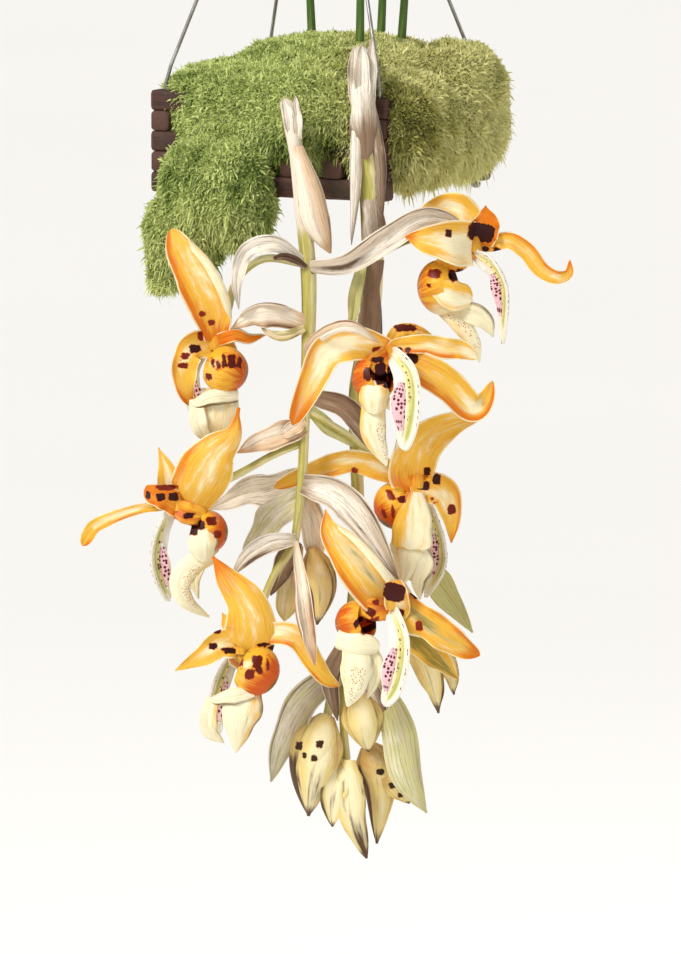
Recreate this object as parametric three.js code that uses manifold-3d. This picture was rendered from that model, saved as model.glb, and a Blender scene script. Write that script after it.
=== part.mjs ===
// A Stanhopea orchid in a square slatted basket of moss, hung by four wires, with two flower spikes hanging
// below.
// Millimetres, +Z up. The origin is where the hook hangs; the basket's sides run along X and Y.
import * as THREE from "three";
import { mergeVertices } from "three/addons/utils/BufferGeometryUtils.js";
import Module from "manifold-3d";

const wasm = await Module();
wasm.setup();

// Driving dimensions
const BASKET = 152; // outside length of a slat
const BAR = 12; // side of a slat's square section
const LAYERS = 5; // crossed pairs of slats in the wall
const FLOOR_BARS = 4; // slats that carry the moss
const CORNER_INSET = 7; // from a slat's end to its wire hole
const WIRE = 1.1; // radius of the hanging wires
const HANG_HEIGHT = 360; // from the basket's underside to the middle of the hook's rod, at its top
const HOOK_RADIUS = 14; // to the middle of the rod
const HOOK_WIRE = 2.2; // radius of the hook's rod
const COLLAR = 7; // radius of the collar that gathers the wires
const COLLAR_BASE = HANG_HEIGHT - 2 * HOOK_RADIUS - 34;
const CLEAR = 0.3; // gap between touching pieces
const VIEW_TURN = (25 * Math.PI) / 180; // the spikes are laid out as seen from this side of the basket
const VIEW_TILT = (8 * Math.PI) / 180; // and from this much above
const HALF = BASKET / 2;
const RIM = BAR * LAYERS;
const NEAR_CORNER = -HALF * (Math.cos(VIEW_TURN) + Math.sin(VIEW_TURN)); // depth of the nearest corner

// Directions and places as the viewer sees them: right, up, back
function aim([right, up, back]) {
  const c = Math.cos(VIEW_TURN);
  const s = Math.sin(VIEW_TURN);
  return new THREE.Vector3(right * c - back * s, right * s + back * c, up);
}

// Up is measured on the picture plane, from the basket's lowest near corner.
function place([right, up, back]) {
  const z = (up + (NEAR_CORNER - back) * Math.sin(VIEW_TILT)) / Math.cos(VIEW_TILT);
  return aim([right, z, back]);
}

const spot = (x, y, z) => new THREE.Vector3(x, y, z);
const line = (points) => new THREE.CatmullRomCurve3(points, false, "catmullrom", 0.5);

// Solids
function solidOf(geometry) {
  for (const name of ["normal", "uv"]) geometry.deleteAttribute(name);
  const merged = mergeVertices(geometry, 1e-4);
  const vertProperties = merged.attributes.position.array;
  const triVerts = new Uint32Array(merged.index.array);
  const made = new wasm.Manifold(new wasm.Mesh({ numProp: 3, vertProperties, triVerts }));
  if (made.volume() > 0) return made;
  for (let i = 0; i < triVerts.length; i += 3) triVerts.subarray(i, i + 3).reverse();
  return new wasm.Manifold(new wasm.Mesh({ numProp: 3, vertProperties, triVerts }));
}

const join = (solids) => solids.reduce((all, one) => all.add(one));
const cutBy = (solid, others) => others.reduce((left, other) => left.subtract(other), solid);

// The largest body of a solid, because a cut can leave loose scraps.
function mainBody(solid) {
  return solid.decompose().sort((a, b) => b.volume() - a.volume())[0];
}

// Rings of equal length, joined into one closed skin with a strip over each end. From column `mirrored` on,
// the quads are split along their other diagonal, so that a thin blade's two faces have triangles alike.
function skin(rings, mirrored = Infinity) {
  const count = rings[0].length;
  const points = rings.flat();
  const faces = [];
  for (let r = 0; r + 1 < rings.length; r++) {
    for (let k = 0; k < count; k++) {
      const a = r * count + k;
      const b = r * count + ((k + 1) % count);
      const c = b + count;
      const d = a + count;
      if (k < mirrored) faces.push(a, b, c, a, c, d);
      else faces.push(a, b, d, b, c, d);
    }
  }
  const last = (rings.length - 1) * count;
  for (let k = 0; k < (count - 2) / 2; k++) {
    const [a, b, c, d] = [k, k + 1, count - 2 - k, count - 1 - k];
    faces.push(a, d, b, last + a, last + b, last + d);
    if (b < c) faces.push(b, d, c, last + b, last + c, last + d);
  }
  return solidOf(new THREE.BufferGeometry().setFromPoints(points).setIndex(faces));
}

// Half width along a blade: `foot` of the greatest at its base, the greatest at `widest`, and a tip that is
// the fuller the lower `blunt` is.
function halfWidth(t, { half, widest = 0.42, foot = 0.4, blunt = 0.8 }) {
  const rise = foot + (1 - foot) * Math.sin((Math.PI / 2) * (t / widest));
  const fall = Math.cos((Math.PI / 2) * ((t - widest) / (1 - widest)));
  return half * Math.max(t < widest ? rise : Math.max(fall, 0) ** blunt, 0.06);
}

// A petal, sepal, bract or leaf: a thin solid along `path` that faces `face` at its base and `faceTip` at its
// tip, and cups towards its face. `grow` makes the larger copy that clears a space for it.
function blade(shape, grow = 0) {
  const { path, face = aim([0, 0, -1]), faceTip = face, cup = 0.5, thick = 1.6 } = shape;
  const { rows = 4, columns = 3, pleats = 0, pleatDepth = 0 } = shape;
  const middle = line(path);
  const rings = [];
  for (let r = 0; r <= rows; r++) {
    const t = r / rows;
    const along = middle.getTangent(t);
    const front = face.clone().lerp(faceTip, t);
    front.addScaledVector(along, -front.dot(along)).normalize();
    const side = new THREE.Vector3().crossVectors(along, front);
    const half = halfWidth(t, shape) + grow;
    const centre = middle.getPoint(t).addScaledVector(along, (2 * t - 1) * grow);
    const faced = [];
    const backed = [];
    for (let k = 0; k <= columns; k++) {
      const s = (2 * k) / columns - 1;
      const bend = cup * s;
      const across = (half * Math.sin(bend)) / cup;
      const lift = (half * (1 - Math.cos(bend))) / cup;
      const pleat = pleatDepth * Math.cos(Math.PI * pleats * s) * Math.sin(Math.PI * t) ** 0.5;
      const normal = front.clone().multiplyScalar(Math.cos(bend)).addScaledVector(side, -Math.sin(bend));
      const point = centre.clone().addScaledVector(side, across).addScaledVector(front, lift + pleat);
      const depth = (thick / 2) * (1 - 0.5 * s * s) + grow;
      faced.push(point.clone().addScaledVector(normal, depth));
      backed.unshift(point.addScaledVector(normal, -depth));
    }
    rings.push([...faced, ...backed]);
  }
  return skin(rings, columns + 1);
}

// A round stem along `path`, with its radius given at even steps.
function stem(path, radii, { sides = 6, rows = 3 * (path.length - 1) } = {}, grow = 0) {
  const middle = line(path);
  const rings = [];
  let side = spot(1, 0.3, 0.2);
  for (let r = 0; r <= rows; r++) {
    const t = r / rows;
    const along = middle.getTangent(t);
    side = side.clone().addScaledVector(along, -side.dot(along)).normalize();
    const other = new THREE.Vector3().crossVectors(along, side);
    const step = t * (radii.length - 1);
    const low = Math.min(Math.floor(step), radii.length - 2);
    const radius = THREE.MathUtils.lerp(radii[low], radii[low + 1], step - low) + grow;
    const centre = middle.getPoint(t).addScaledVector(along, (2 * t - 1) * grow);
    rings.push(ringOf(centre, side, other, radius, radius, sides));
  }
  return skin(rings);
}

function ringOf(centre, side, other, wide, deep, sides) {
  return Array.from({ length: sides }, (_, k) => {
    const turn = (2 * Math.PI * k) / sides;
    const out = side.clone().multiplyScalar(wide * Math.cos(turn));
    return out.addScaledVector(other, deep * Math.sin(turn)).add(centre);
  });
}

// A closed bud or bulb, pointed at its tip, with `ribs` low ridges.
function bud(shape, grow = 0) {
  const { path, half, deep = half * 0.8, ridge = 0.1, ribs = 3, sides = 8, rows = 4 } = shape;
  const middle = line(path);
  const rings = [];
  for (let r = 0; r <= rows; r++) {
    const t = r / rows;
    const along = middle.getTangent(t);
    const front = aim([0, 0, -1]);
    front.addScaledVector(along, -front.dot(along)).normalize();
    const side = new THREE.Vector3().crossVectors(along, front);
    const share = halfWidth(t, { ...shape, half: 1 });
    const centre = middle.getPoint(t).addScaledVector(along, (2 * t - 1) * grow);
    rings.push(
      Array.from({ length: sides }, (_, k) => {
        const turn = (2 * Math.PI * k) / sides;
        const swell = share * (1 + ridge * Math.cos(ribs * turn));
        const out = side.clone().multiplyScalar((half * swell + grow) * Math.sin(turn));
        return out.addScaledVector(front, (deep * swell + grow) * Math.cos(turn)).add(centre);
      }),
    );
  }
  return skin(rings);
}

// The lip's sac: a hollow ball with its mouth towards `mouth`.
const SAC_WALL = 2.4;
const SAC_OUTSIDE = [178, 138, 95, 55]; // degrees round from the middle of the mouth
const SAC_INSIDE = [66, 172];

function sac({ at, radius, tall = 1.1, mouth }, grow = 0) {
  const centre = place(at);
  const opening = aim(mouth).normalize();
  const side = new THREE.Vector3().crossVectors(opening, spot(0, 0, 1)).normalize();
  const upward = new THREE.Vector3().crossVectors(side, opening);
  const shell = (angles, size) =>
    angles.map((degrees) => {
      const angle = THREE.MathUtils.degToRad(degrees);
      const middle = centre.clone().addScaledVector(opening, size * Math.cos(angle));
      return ringOf(middle, side, upward, size * Math.sin(angle), size * tall * Math.sin(angle), 6);
    });
  return skin([...shell(SAC_OUTSIDE, radius + grow), ...shell(SAC_INSIDE, radius - SAC_WALL - grow)]);
}

// Blooms. Paths are right, up and back, base first; a bloom's tepals and column spring from its hub.
const REAR = { rows: 2, columns: 2, thick: 1.8 }; // tepals behind the rest
const EDGE_ON = { rows: 4, columns: 2 };
const NECK = { foot: 0.9, blunt: 0.3, thick: 4, rows: 2, columns: 2 }; // from the hub to the lip's sac
const BLOCK = { thick: 5, rows: 3, columns: 2 }; // the lip's middle
const TONGUE = { cup: -0.55, thick: 3, rows: 3, columns: 2 };
const HORN = { thick: 2.6, rows: 3, columns: 2 };
const BLOOMS = [
  {
    name: "bloom_1",
    hub: [-62, -80, -118],
    tepals: [
      { path: [[-61, -79, -121], [-64, -62, -126], [-72, -45, -127], [-80, -31, -124], [-87, -16, -116]],
        half: 13, widest: 0.35, foot: 0.55, blunt: 0.5, cup: 0.6 },
      { path: [[-67, -82, -122], [-77, -87, -127], [-80, -101, -128], [-76, -118, -122]],
        half: 9, blunt: 0.55, widest: 0.45 },
      { path: [[-58, -79, -121], [-50, -77, -124], [-42, -79, -122], [-33, -77, -118]],
        half: 4, widest: 0.3, foot: 0.7, thick: 3, ...EDGE_ON },
      { path: [[-58, -82, -112], [-56, -92, -104], [-56, -104, -100],
          [-59, -114, -98]], half: 8, ...REAR },
      { path: [[-62, -78, -112], [-64, -66, -106], [-67, -54, -100]], half: 5, ...REAR },
    ],
    sac: { at: [-56, -97, -124], radius: 13.5, tall: 1, mouth: [-0.8, 0.3, 0.5] },
    lip: [
      { path: [[-49, -112, -126], [-62, -113, -131], [-76, -118, -128]],
        half: 4, foot: 0.8, widest: 0.5, blunt: 0.5, ...BLOCK },
      { path: [[-58, -106, -124], [-58, -122, -127], [-58, -134, -124], [-57, -146, -117]],
        half: 12, foot: 0.7, blunt: 0.45, ...TONGUE },
      { path: [[-73, -114, -128], [-70, -128, -133], [-64, -141, -128]],
        half: 6, foot: 0.7, blunt: 0.5, ...HORN },
    ],
    column: {
      path: [[-70, -86, -110], [-77, -98, -108], [-76, -112, -108], [-72, -124, -108], [-68, -134, -106]],
      half: 6.5, face: [0.6, 0, -0.8],
    },
  },
  {
    name: "bloom_2",
    hub: [88, -24, -126],
    tepals: [
      { path: [[85, -24, -131], [73, -27, -141], [60, -25, -143], [48, -21, -138]],
        half: 13.5, foot: 0.75, widest: 0.45, blunt: 0.75, cup: 0.8 },
      { path: [[86, -16, -124], [79, -7, -119], [68, -4, -115], [57, -7, -112], [47, -13, -110]],
        half: 9, blunt: 0.7, cup: 0.4, rows: 4 },
      { path: [[90, -23, -128], [94, -14, -133], [94, -3, -133]],
        half: 9.5, foot: 0.8, widest: 0.35, blunt: 1, cup: 0.3, rows: 3 },
      { path: [[97, -25, -128], [108, -23, -131], [118, -29, -130], [126, -39, -129], [135, -44, -128],
          [142, -42, -126], [143, -34, -123]],
        half: 5, foot: 0.8, blunt: 0.6, cup: 0.3, rows: 7, columns: 2 },
      { path: [[90, -20, -118], [92, -14, -106], [91, -11, -94]], half: 8, ...REAR },
    ],
    sac: { at: [69, -50, -124], radius: 14, tall: 1.15, mouth: [0.9, 0.25, -0.2] },
    lip: [
      { path: [[85, -28, -128], [77, -35, -128], [66, -36.5, -126]],
        half: 6, ...NECK },
      { path: [[66, -52, -134], [74, -56, -135], [86, -59, -130]],
        half: 9, foot: 0.6, widest: 0.6, blunt: 0.4, ...BLOCK },
      { path: [[73, -62, -128], [84, -64, -131], [93, -68, -130], [99, -78, -126]],
        half: 6.5, widest: 0.5, blunt: 0.9, ...HORN },
      { path: [[69, -62, -126], [79, -71, -131], [87, -80, -130], [91, -92, -124]],
        half: 5, foot: 0.7, ...TONGUE },
    ],
    column: {
      path: [[90, -31, -128], [98, -37, -132], [104, -46, -133], [106, -58, -132], [104.5, -82, -128]],
      half: 7, face: [-0.85, 0, -0.5],
    },
  },
  {
    name: "bloom_3",
    hub: [40, -87, -158],
    tepals: [
      { path: [[33, -85, -160], [18, -82, -162], [4, -87, -162], [-5, -102, -160], [-17, -129, -150]],
        half: 10, widest: 0.5, foot: 0.5, blunt: 0.45, cup: 0.6, rows: 5 },
      { path: [[40, -83, -158], [44, -76, -158], [54, -75, -156], [65, -79, -152]],
        half: 4.6, foot: 0.7, cup: 0.3, ...EDGE_ON },
      { path: [[43, -84, -161], [57, -83, -164], [70, -85, -163], [80, -86, -161], [89, -91, -158]],
        half: 6, foot: 0.5, widest: 0.65, blunt: 0.5, cup: 0.5 },
      { path: [[46, -91, -160], [60, -98, -164], [74, -107, -162], [86, -119, -158], [93, -116, -155],
          [98, -104, -152]],
        half: 9.8, widest: 0.42, blunt: 0.6, cup: 0.5, rows: 5 },
      { path: [[38, -86, -148], [34, -96, -140], [32, -108, -137], [32, -118, -135]], half: 8, ...REAR },
    ],
    sac: { at: [30, -102, -160], radius: 13, tall: 1.05, mouth: [0.7, 0.35, -0.65] },
    lip: [
      { path: [[38, -90, -160], [33, -94, -164], [28, -98, -166]],
        half: 7, ...NECK },
      { path: [[30, -104, -168], [30, -113, -172], [31, -122, -170]],
        half: 8.5, foot: 0.8, widest: 0.5, blunt: 0.3, cup: -0.5, ...BLOCK, thick: 7 },
      { path: [[31, -117, -168], [30, -130, -171], [33, -141, -169], [37, -152, -164]],
        half: 7.5, foot: 0.9, widest: 0.3, blunt: 0.7, ...TONGUE },
      { path: [[31, -114, -169], [43, -120, -166], [46, -132, -163], [42, -144, -160]],
        half: 3.5, foot: 0.8, ...HORN },
    ],
    column: {
      path: [[43, -91, -166], [49, -100, -175], [51, -112, -179], [50, -127, -179], [47, -144, -174]],
      half: 10, foot: 0.35, face: [-0.5, 0, -0.85],
    },
  },
  {
    name: "bloom_4",
    hub: [56, -160, -120],
    tepals: [
      { path: [[54, -156, -123], [58, -144, -128], [65, -134, -128], [77, -128, -125], [93, -124, -118]],
        half: 12, foot: 0.8, widest: 0.3, blunt: 0.7 },
      { path: [[46, -158, -121], [33, -154, -122], [19, -150, -120], [7, -151, -116], [-8, -157, -109],
          [-28, -165, -102]],
        half: 6.5, foot: 0.8, widest: 0.5, blunt: 0.6, rows: 5, columns: 2 },
      { path: [[60, -164, -124], [70, -168, -127], [75, -180, -127], [75, -197, -122]],
        half: 9.5, foot: 0.6, widest: 0.4, blunt: 0.8 },
      { path: [[57, -158, -114], [62, -154, -106], [66, -150, -98]], half: 6, ...REAR },
      { path: [[50, -164, -112], [46, -174, -104], [45, -186, -100]], half: 7, ...REAR },
    ],
    sac: { at: [42, -176, -120], radius: 12, tall: 1.15, mouth: [0.9, 0.3, 0.2] },
    lip: [
      { path: [[54, -164, -122], [48, -166, -124], [44, -170, -124]],
        half: 6, ...NECK },
      { path: [[50, -171, -126], [51, -184, -130], [51, -201, -130]],
        half: 12, foot: 0.6, widest: 0.8, blunt: 0.3, ...BLOCK },
      { path: [[51, -197, -128], [50, -206, -130], [46, -223, -126]],
        half: 12, foot: 0.9, widest: 0.15, blunt: 1.1, ...TONGUE },
      { path: [[53, -197, -129], [60, -208, -128], [56, -220, -126], [57, -230, -122]],
        half: 5, foot: 0.6, ...HORN },
    ],
    column: {
      path: [[60, -171, -118], [66, -186, -116], [69.5, -199, -115], [69, -212, -115], [60, -229, -114]],
      half: 6.5, face: [-0.7, 0, -0.7],
    },
  },
  {
    name: "bloom_5",
    hub: [-84, -173, -122],
    tepals: [
      { path: [[-78, -173, -126], [-67, -162, -137], [-57, -149, -141], [-48, -119, -138]],
        half: 17, widest: 0.38, foot: 0.45, blunt: 0.75, cup: 0.7 },
      { path: [[-87, -170, -121], [-89, -158, -120], [-95, -142, -114]],
        half: 9, foot: 0.9, widest: 0.35, blunt: 1, cup: 0.3, rows: 3 },
      { path: [[-92, -176, -124], [-104, -177, -127], [-118, -181, -127], [-129, -186, -125],
          [-134, -190, -124],
          [-139, -199, -120]],
        half: 4.6, foot: 0.6, widest: 0.85, blunt: 0.5, cup: 0.3, rows: 6, columns: 2 },
      { path: [[-85, -174, -126.5], [-94, -170, -130], [-103, -167, -126]],
        half: 7.5, foot: 0.9, widest: 0.4, blunt: 0.3, cup: 0.3, rows: 3 },
      { path: [[-81, -176, -112], [-74, -182, -104], [-68, -192, -100]], half: 8, ...REAR },
    ],
    sac: { at: [-67, -191, -122], radius: 12.5, tall: 1.02, mouth: [-0.9, 0.3, -0.2] },
    lip: [
      { path: [[-84, -177, -124], [-77, -180, -127], [-67, -181, -125]],
        half: 6.5, ...NECK },
      { path: [[-69, -189, -132], [-69, -198, -134], [-69, -207, -130]],
        half: 8.5, foot: 0.7, blunt: 0.3, cup: -0.5, ...BLOCK },
      { path: [[-63, -205, -127], [-75, -210, -130], [-82, -220, -131], [-78, -232, -128],
          [-66, -240, -122]],
        half: 6.5, foot: 0.6, widest: 0.35, ...TONGUE },
      { path: [[-62, -200, -122], [-70, -208, -116], [-74, -220, -113], [-72, -230, -112]],
        half: 3.5, foot: 0.8, ...HORN },
    ],
    column: {
      path: [[-90, -182, -122], [-95, -194, -124], [-96.5, -207, -125], [-94, -219, -124], [-89, -231, -121]],
      half: 7, face: [0.7, 0, -0.7],
    },
  },
  {
    name: "bloom_6",
    hub: [-46, -256, -142],
    tepals: [
      { path: [[-44, -255, -146], [-43, -241, -153], [-49, -225, -152], [-62, -207, -142]],
        half: 14.5, widest: 0.4, foot: 0.5, blunt: 0.8, cup: 0.6 },
      { path: [[-50, -255, -144], [-60, -256, -147], [-70, -263, -146], [-85, -271, -140]],
        half: 9, foot: 0.8, widest: 0.35, rows: 4 },
      { path: [[-40, -252, -144], [-26, -249, -149], [-14, -252, -150], [-5, -265, -149], [3, -276, -146],
          [10, -280, -142]],
        half: 7, foot: 0.5, widest: 0.4, blunt: 0.6, rows: 5 },
      { path: [[-48, -254, -134], [-54, -246, -126], [-58, -238, -120]], half: 5, ...REAR },
      { path: [[-42, -260, -134], [-38, -270, -127], [-36, -280, -124]], half: 8, ...REAR },
    ],
    sac: { at: [-38, -271, -144], radius: 13.5, tall: 1.1, mouth: [-0.85, 0.4, 0.3] },
    lip: [
      { path: [[-40, -283, -148], [-52, -286, -151], [-66, -289, -146]],
        half: 4.5, foot: 0.9, widest: 0.4, blunt: 0.6, ...BLOCK },
      { path: [[-44, -282, -146], [-46, -293, -151], [-48, -304, -149], [-50, -318, -142]],
        half: 12, foot: 0.8, widest: 0.3, blunt: 0.8, ...TONGUE },
      { path: [[-63, -287, -147], [-66, -298, -149], [-64, -307, -147], [-57, -313, -143]],
        half: 5, foot: 0.7, ...HORN },
    ],
    column: {
      path: [[-51, -261, -136], [-57, -272, -133], [-61, -284, -132], [-63, -297, -132], [-60, -309, -131]],
      half: 6.5, face: [0.5, 0, -0.8],
    },
  },
  {
    name: "bloom_7",
    hub: [40, -233, -150],
    tepals: [
      { path: [[35, -229, -153], [24, -215, -159], [13, -201, -158], [5, -190, -154], [2, -178, -148]],
        half: 12, widest: 0.4, foot: 0.5, blunt: 0.6, cup: 0.6 },
      { path: [[47, -234, -153], [60, -243, -157], [74, -253, -156], [92, -263, -149]],
        half: 10.5, widest: 0.5, foot: 0.6, blunt: 0.4, cup: 0.6 },
      { path: [[42, -233, -157], [42, -227, -163], [42, -219, -163]],
        half: 7.5, foot: 0.9, widest: 0.5, blunt: 0.3, cup: 0.3, rows: 3 },
      { path: [[46, -238, -148], [56, -252, -146], [67, -264, -142], [79, -276, -136]],
        half: 9.5, widest: 0.45, foot: 0.5 },
      { path: [[36, -230, -142], [31, -224, -134], [27, -219, -128]], half: 5, ...REAR },
    ],
    sac: { at: [20, -243, -148], radius: 12.5, tall: 1, mouth: [0.85, 0.25, -0.45] },
    lip: [
      { path: [[37, -236, -153], [29, -235, -155], [20, -233, -151]],
        half: 6.5, ...NECK },
      { path: [[9, -252, -154], [20, -255, -159], [33, -257, -156]],
        half: 7, foot: 0.8, widest: 0.5, blunt: 0.4, cup: -0.5, ...BLOCK },
      { path: [[20, -256, -156], [20, -268, -160], [19, -279, -158], [15, -291, -152]],
        half: 9.5, foot: 0.8, widest: 0.35, blunt: 0.7, ...TONGUE },
      { path: [[28, -257, -154], [32, -267, -155], [30, -278, -153], [26, -287, -150]],
        half: 3.6, foot: 0.8, ...HORN },
    ],
    column: {
      path: [[42, -239, -158], [45.5, -252, -166], [45, -266, -168], [42, -279, -166], [36, -291, -161]],
      half: 8.5, face: [-0.5, 0, -0.85],
    },
  },
];

function seen(shape) {
  const face = shape.face && { face: aim(shape.face) };
  return { ...shape, ...face, path: shape.path.map(place) };
}

// A path that starts away from its bloom's hub gets a first point nearer to it.
function rooted(hub, shape, share = 0.4) {
  const { path, ...rest } = seen(shape);
  const heart = place(hub);
  const root = heart.distanceTo(path[0]) > 4 ? [heart.lerp(path[0], share)] : [];
  return { ...rest, path: [...root, ...path] };
}

function tepalSolid({ hub, tepals }, grow = 0) {
  const heart = place(hub);
  const ends = [4, -5].map((z) => heart.clone().add(spot(0, 0, z)));
  const core = stem(ends, [4.5, 5.5], { sides: 5, rows: 1 }, grow);
  return join([core, ...tepals.map((tepal) => blade(rooted(hub, tepal), grow))]);
}

function lipSolid(bloom, grow = 0) {
  return join([sac(bloom.sac, grow), ...bloom.lip.map((shape) => blade(seen(shape), grow))]);
}

function columnSolid({ hub, column }, grow = 0) {
  const shape = { foot: 0.4, widest: 0.62, blunt: 0.45, cup: 0.9, thick: 3.6, rows: 6 };
  return blade({ ...shape, ...rooted(hub, column, 0.25) }, grow);
}

// Flower spikes: the stalk, each flower's own stalk, the papery bracts and the small closed buds
const SPIKE_1 = {
  stalk: {
    path: [[-20, 72, -58], [-19, 66, -82], [-17, 44, -98], [-12, 0, -111], [-8, -40, -118],
        [-8, -80, -124],
      [-10, -125, -127], [-12, -165, -128], [-16, -198, -128]],
    radii: [4.4, 4.6, 4.6, 4.6, 4.6, 4, 3, 2.8, 2.4],
  },
  stalklets: [
    [[-9, -36, -118], [-33, -33, -122], [-49, -45, -121], [-55, -64, -118], [-61, -77, -116]],
    [[-8, -40, -120], [22, -36, -128], [52, -22, -130], [82, -21, -127]],
    [[-8, -86, -124], [6, -80, -136], [22, -80, -150], [36, -86, -156]],
    [[-9, -121, -126], [14, -134, -120], [36, -150, -118], [53, -160, -118]],
    [[-11, -139, -126], [-28, -146, -124], [-50, -158, -118], [-80, -172, -119]],
    [[-15, -196, -128], [-28, -216, -130], [-37, -238, -131], [-44, -253, -138]],
    [[-12, -162, -128], [12, -172, -134], [28, -198, -140], [38, -230, -146]],
  ],
  bracts: [
    { path: [[-15, 30, -105], [-7, 10, -116], [-3, -8, -120],
        [4, -29, -119]], half: 9, cup: -0.9, widest: 0.5 },
    { path: [[-8, -37, -118], [-26, -25, -127], [-43, -29, -128], [-49, -44, -127], [-48, -62, -124]],
      half: 4.8, foot: 0.5, rows: 4 },
    { path: [[-9, -71, -126], [-26, -66, -130], [-40, -67, -130],
        [-52, -73, -126]], half: 6.8, cup: -0.8 },
    { path: [[-7, -38, -123], [14, -37, -132], [36, -23, -137], [56, -11, -136], [72, -11, -132],
        [86, -19, -128]],
      half: 7, cup: -0.9, foot: 0.5, rows: 5 },
    { path: [[-8, -90, -125], [-2, -79, -144], [12, -76, -156],
        [33, -82, -160]], half: 5, blunt: 0.5, rows: 4 },
    { path: [[-8, -112, -129], [12, -118, -131], [26, -134, -130], [36, -152, -126]], half: 7 },
    { path: [[-9, -118, -128], [4, -130, -122], [20, -142, -118]], half: 4.5 },
    { path: [[-10, -129, -129], [-22, -134, -131], [-35, -138, -130], [-47, -145, -126]], half: 6.5 },
    { path: [[-15, -195, -131], [-30, -197, -135], [-43, -205, -134], [-52, -216, -130]], half: 6 },
    { path: [[-15, -196, -126], [-22, -210, -120], [-30, -228, -116]], half: 7, rows: 3 },
    { path: [[-11, -163, -131], [8, -169, -140], [26, -188, -148],
        [44, -218, -150]], half: 9.5, widest: 0.5 },
    { path: [[-9, -156, -125], [-28, -163, -118], [-46, -170, -113], [-63, -178, -108]], half: 8.5 },
    { path: [[-11, -168, -125], [-26, -180, -118], [-36, -192, -112], [-47, -207, -106]], half: 9 },
    { path: [[-11, -170, -125], [-6, -188, -120], [-4, -210, -116]], half: 7, rows: 3 },
    { path: [[-15, -196, -131], [-12, -220, -147], [-9, -242, -156], [-4, -268, -156]],
      half: 5, foot: 0.3, widest: 0.6 },
    { path: [[-15, -198, -126], [-19, -222, -114], [-22, -243, -110]], half: 7.5, widest: 0.7, rows: 3 },
  ],
  buds: [{ path: [[-6, -200, -122], [-3, -212, -118], [0, -226, -116],
      [-3, -245, -114]], half: 9.5, foot: 0.2 }],
};
const SPIKE_2 = {
  stalk: {
    path: [[12, 70, -56], [18, 82, -74], [21, 80, -92], [23, 58, -108], [26, 28, -114], [28, 0, -114],
      [29, -40, -110], [26, -80, -105], [20, -110, -103], [20, -150, -101], [21, -190, -100],
          [17, -235, -102],
      [12, -284, -104]],
    radii: [5, 5.6, 6, 6.6, 6.6, 6.4, 6, 5, 4, 3.5, 3, 2.6],
  },
  stalklets: [
    [[14, -268, -104], [6, -283, -108], [3, -298, -112]],
    [[12, -280, -104], [12, -300, -108], [14, -324, -112]],
    [[13, -276, -104], [22, -294, -102], [27, -316, -104]],
    [[15, -262, -104], [20, -274, -108], [22, -290, -114]],
    [[21, -196, -101], [40, -212, -102], [55, -236, -105]],
  ],
  bracts: [
    { path: [[21, 82, -92], [22, 66, -113], [24, 54, -119],
        [25, 44, -121]], half: 8, cup: -1.1, rows: 4 },
    { path: [[22, 56, -114], [24, 34, -122], [22, 4, -123],
        [18, -24, -119]], half: 6, cup: -1.1, foot: 0.9 },
    { path: [[28, 56, -114], [32, 34, -121], [34, 12, -121],
        [34, -20, -118]], half: 5, cup: -1.1, foot: 0.9 },
    { path: [[29, -26, -112], [28, -44, -119], [28, -62, -117],
        [27, -84, -112]], half: 8, cup: -1.1, foot: 0.7 },
    { path: [[24, -32, -116], [20, -50, -120], [18, -64, -118], [16, -78, -114]], half: 4 },
    { path: [[13, -269, -104], [-11, -290, -116], [-22, -312, -118],
        [-30, -337, -114]], half: 9.5, foot: 0.6 },
    { path: [[16, -274, -104], [42, -298, -104], [50, -324, -106], [54, -344, -104], [61, -356, -100]],
      half: 10, foot: 0.3, widest: 0.5, rows: 6 },
    { path: [[15, -252, -103], [5, -276, -119], [9, -301, -120]], half: 6, rows: 3 },
    { path: [[15, -262, -104], [29, -282, -118], [34, -294, -122], [39, -310, -120]], half: 4.5 },
    { path: [[40, -210, -101], [62, -216, -98], [74, -230, -97], [88, -250, -96]], half: 9, foot: 0.3 },
  ],
  buds: [],
};

function spikeSolid({ stalk, stalklets, bracts, buds }, grow = 0) {
  const rows = Math.round(1.5 * stalk.path.length);
  return join([
    stem(stalk.path.map(place), stalk.radii, { sides: 5, rows }, grow),
    ...stalklets.map((path) => stem(path.map(place), [2.4, 2.2, 2.6], { sides: 4, rows: 3 }, grow)),
    ...bracts.map((shape) => blade({ rows: 3, columns: 2, foot: 0.6, ...seen(shape) }, grow)),
    ...buds.map((shape) => bud(seen(shape), grow)),
  ]);
}

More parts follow.
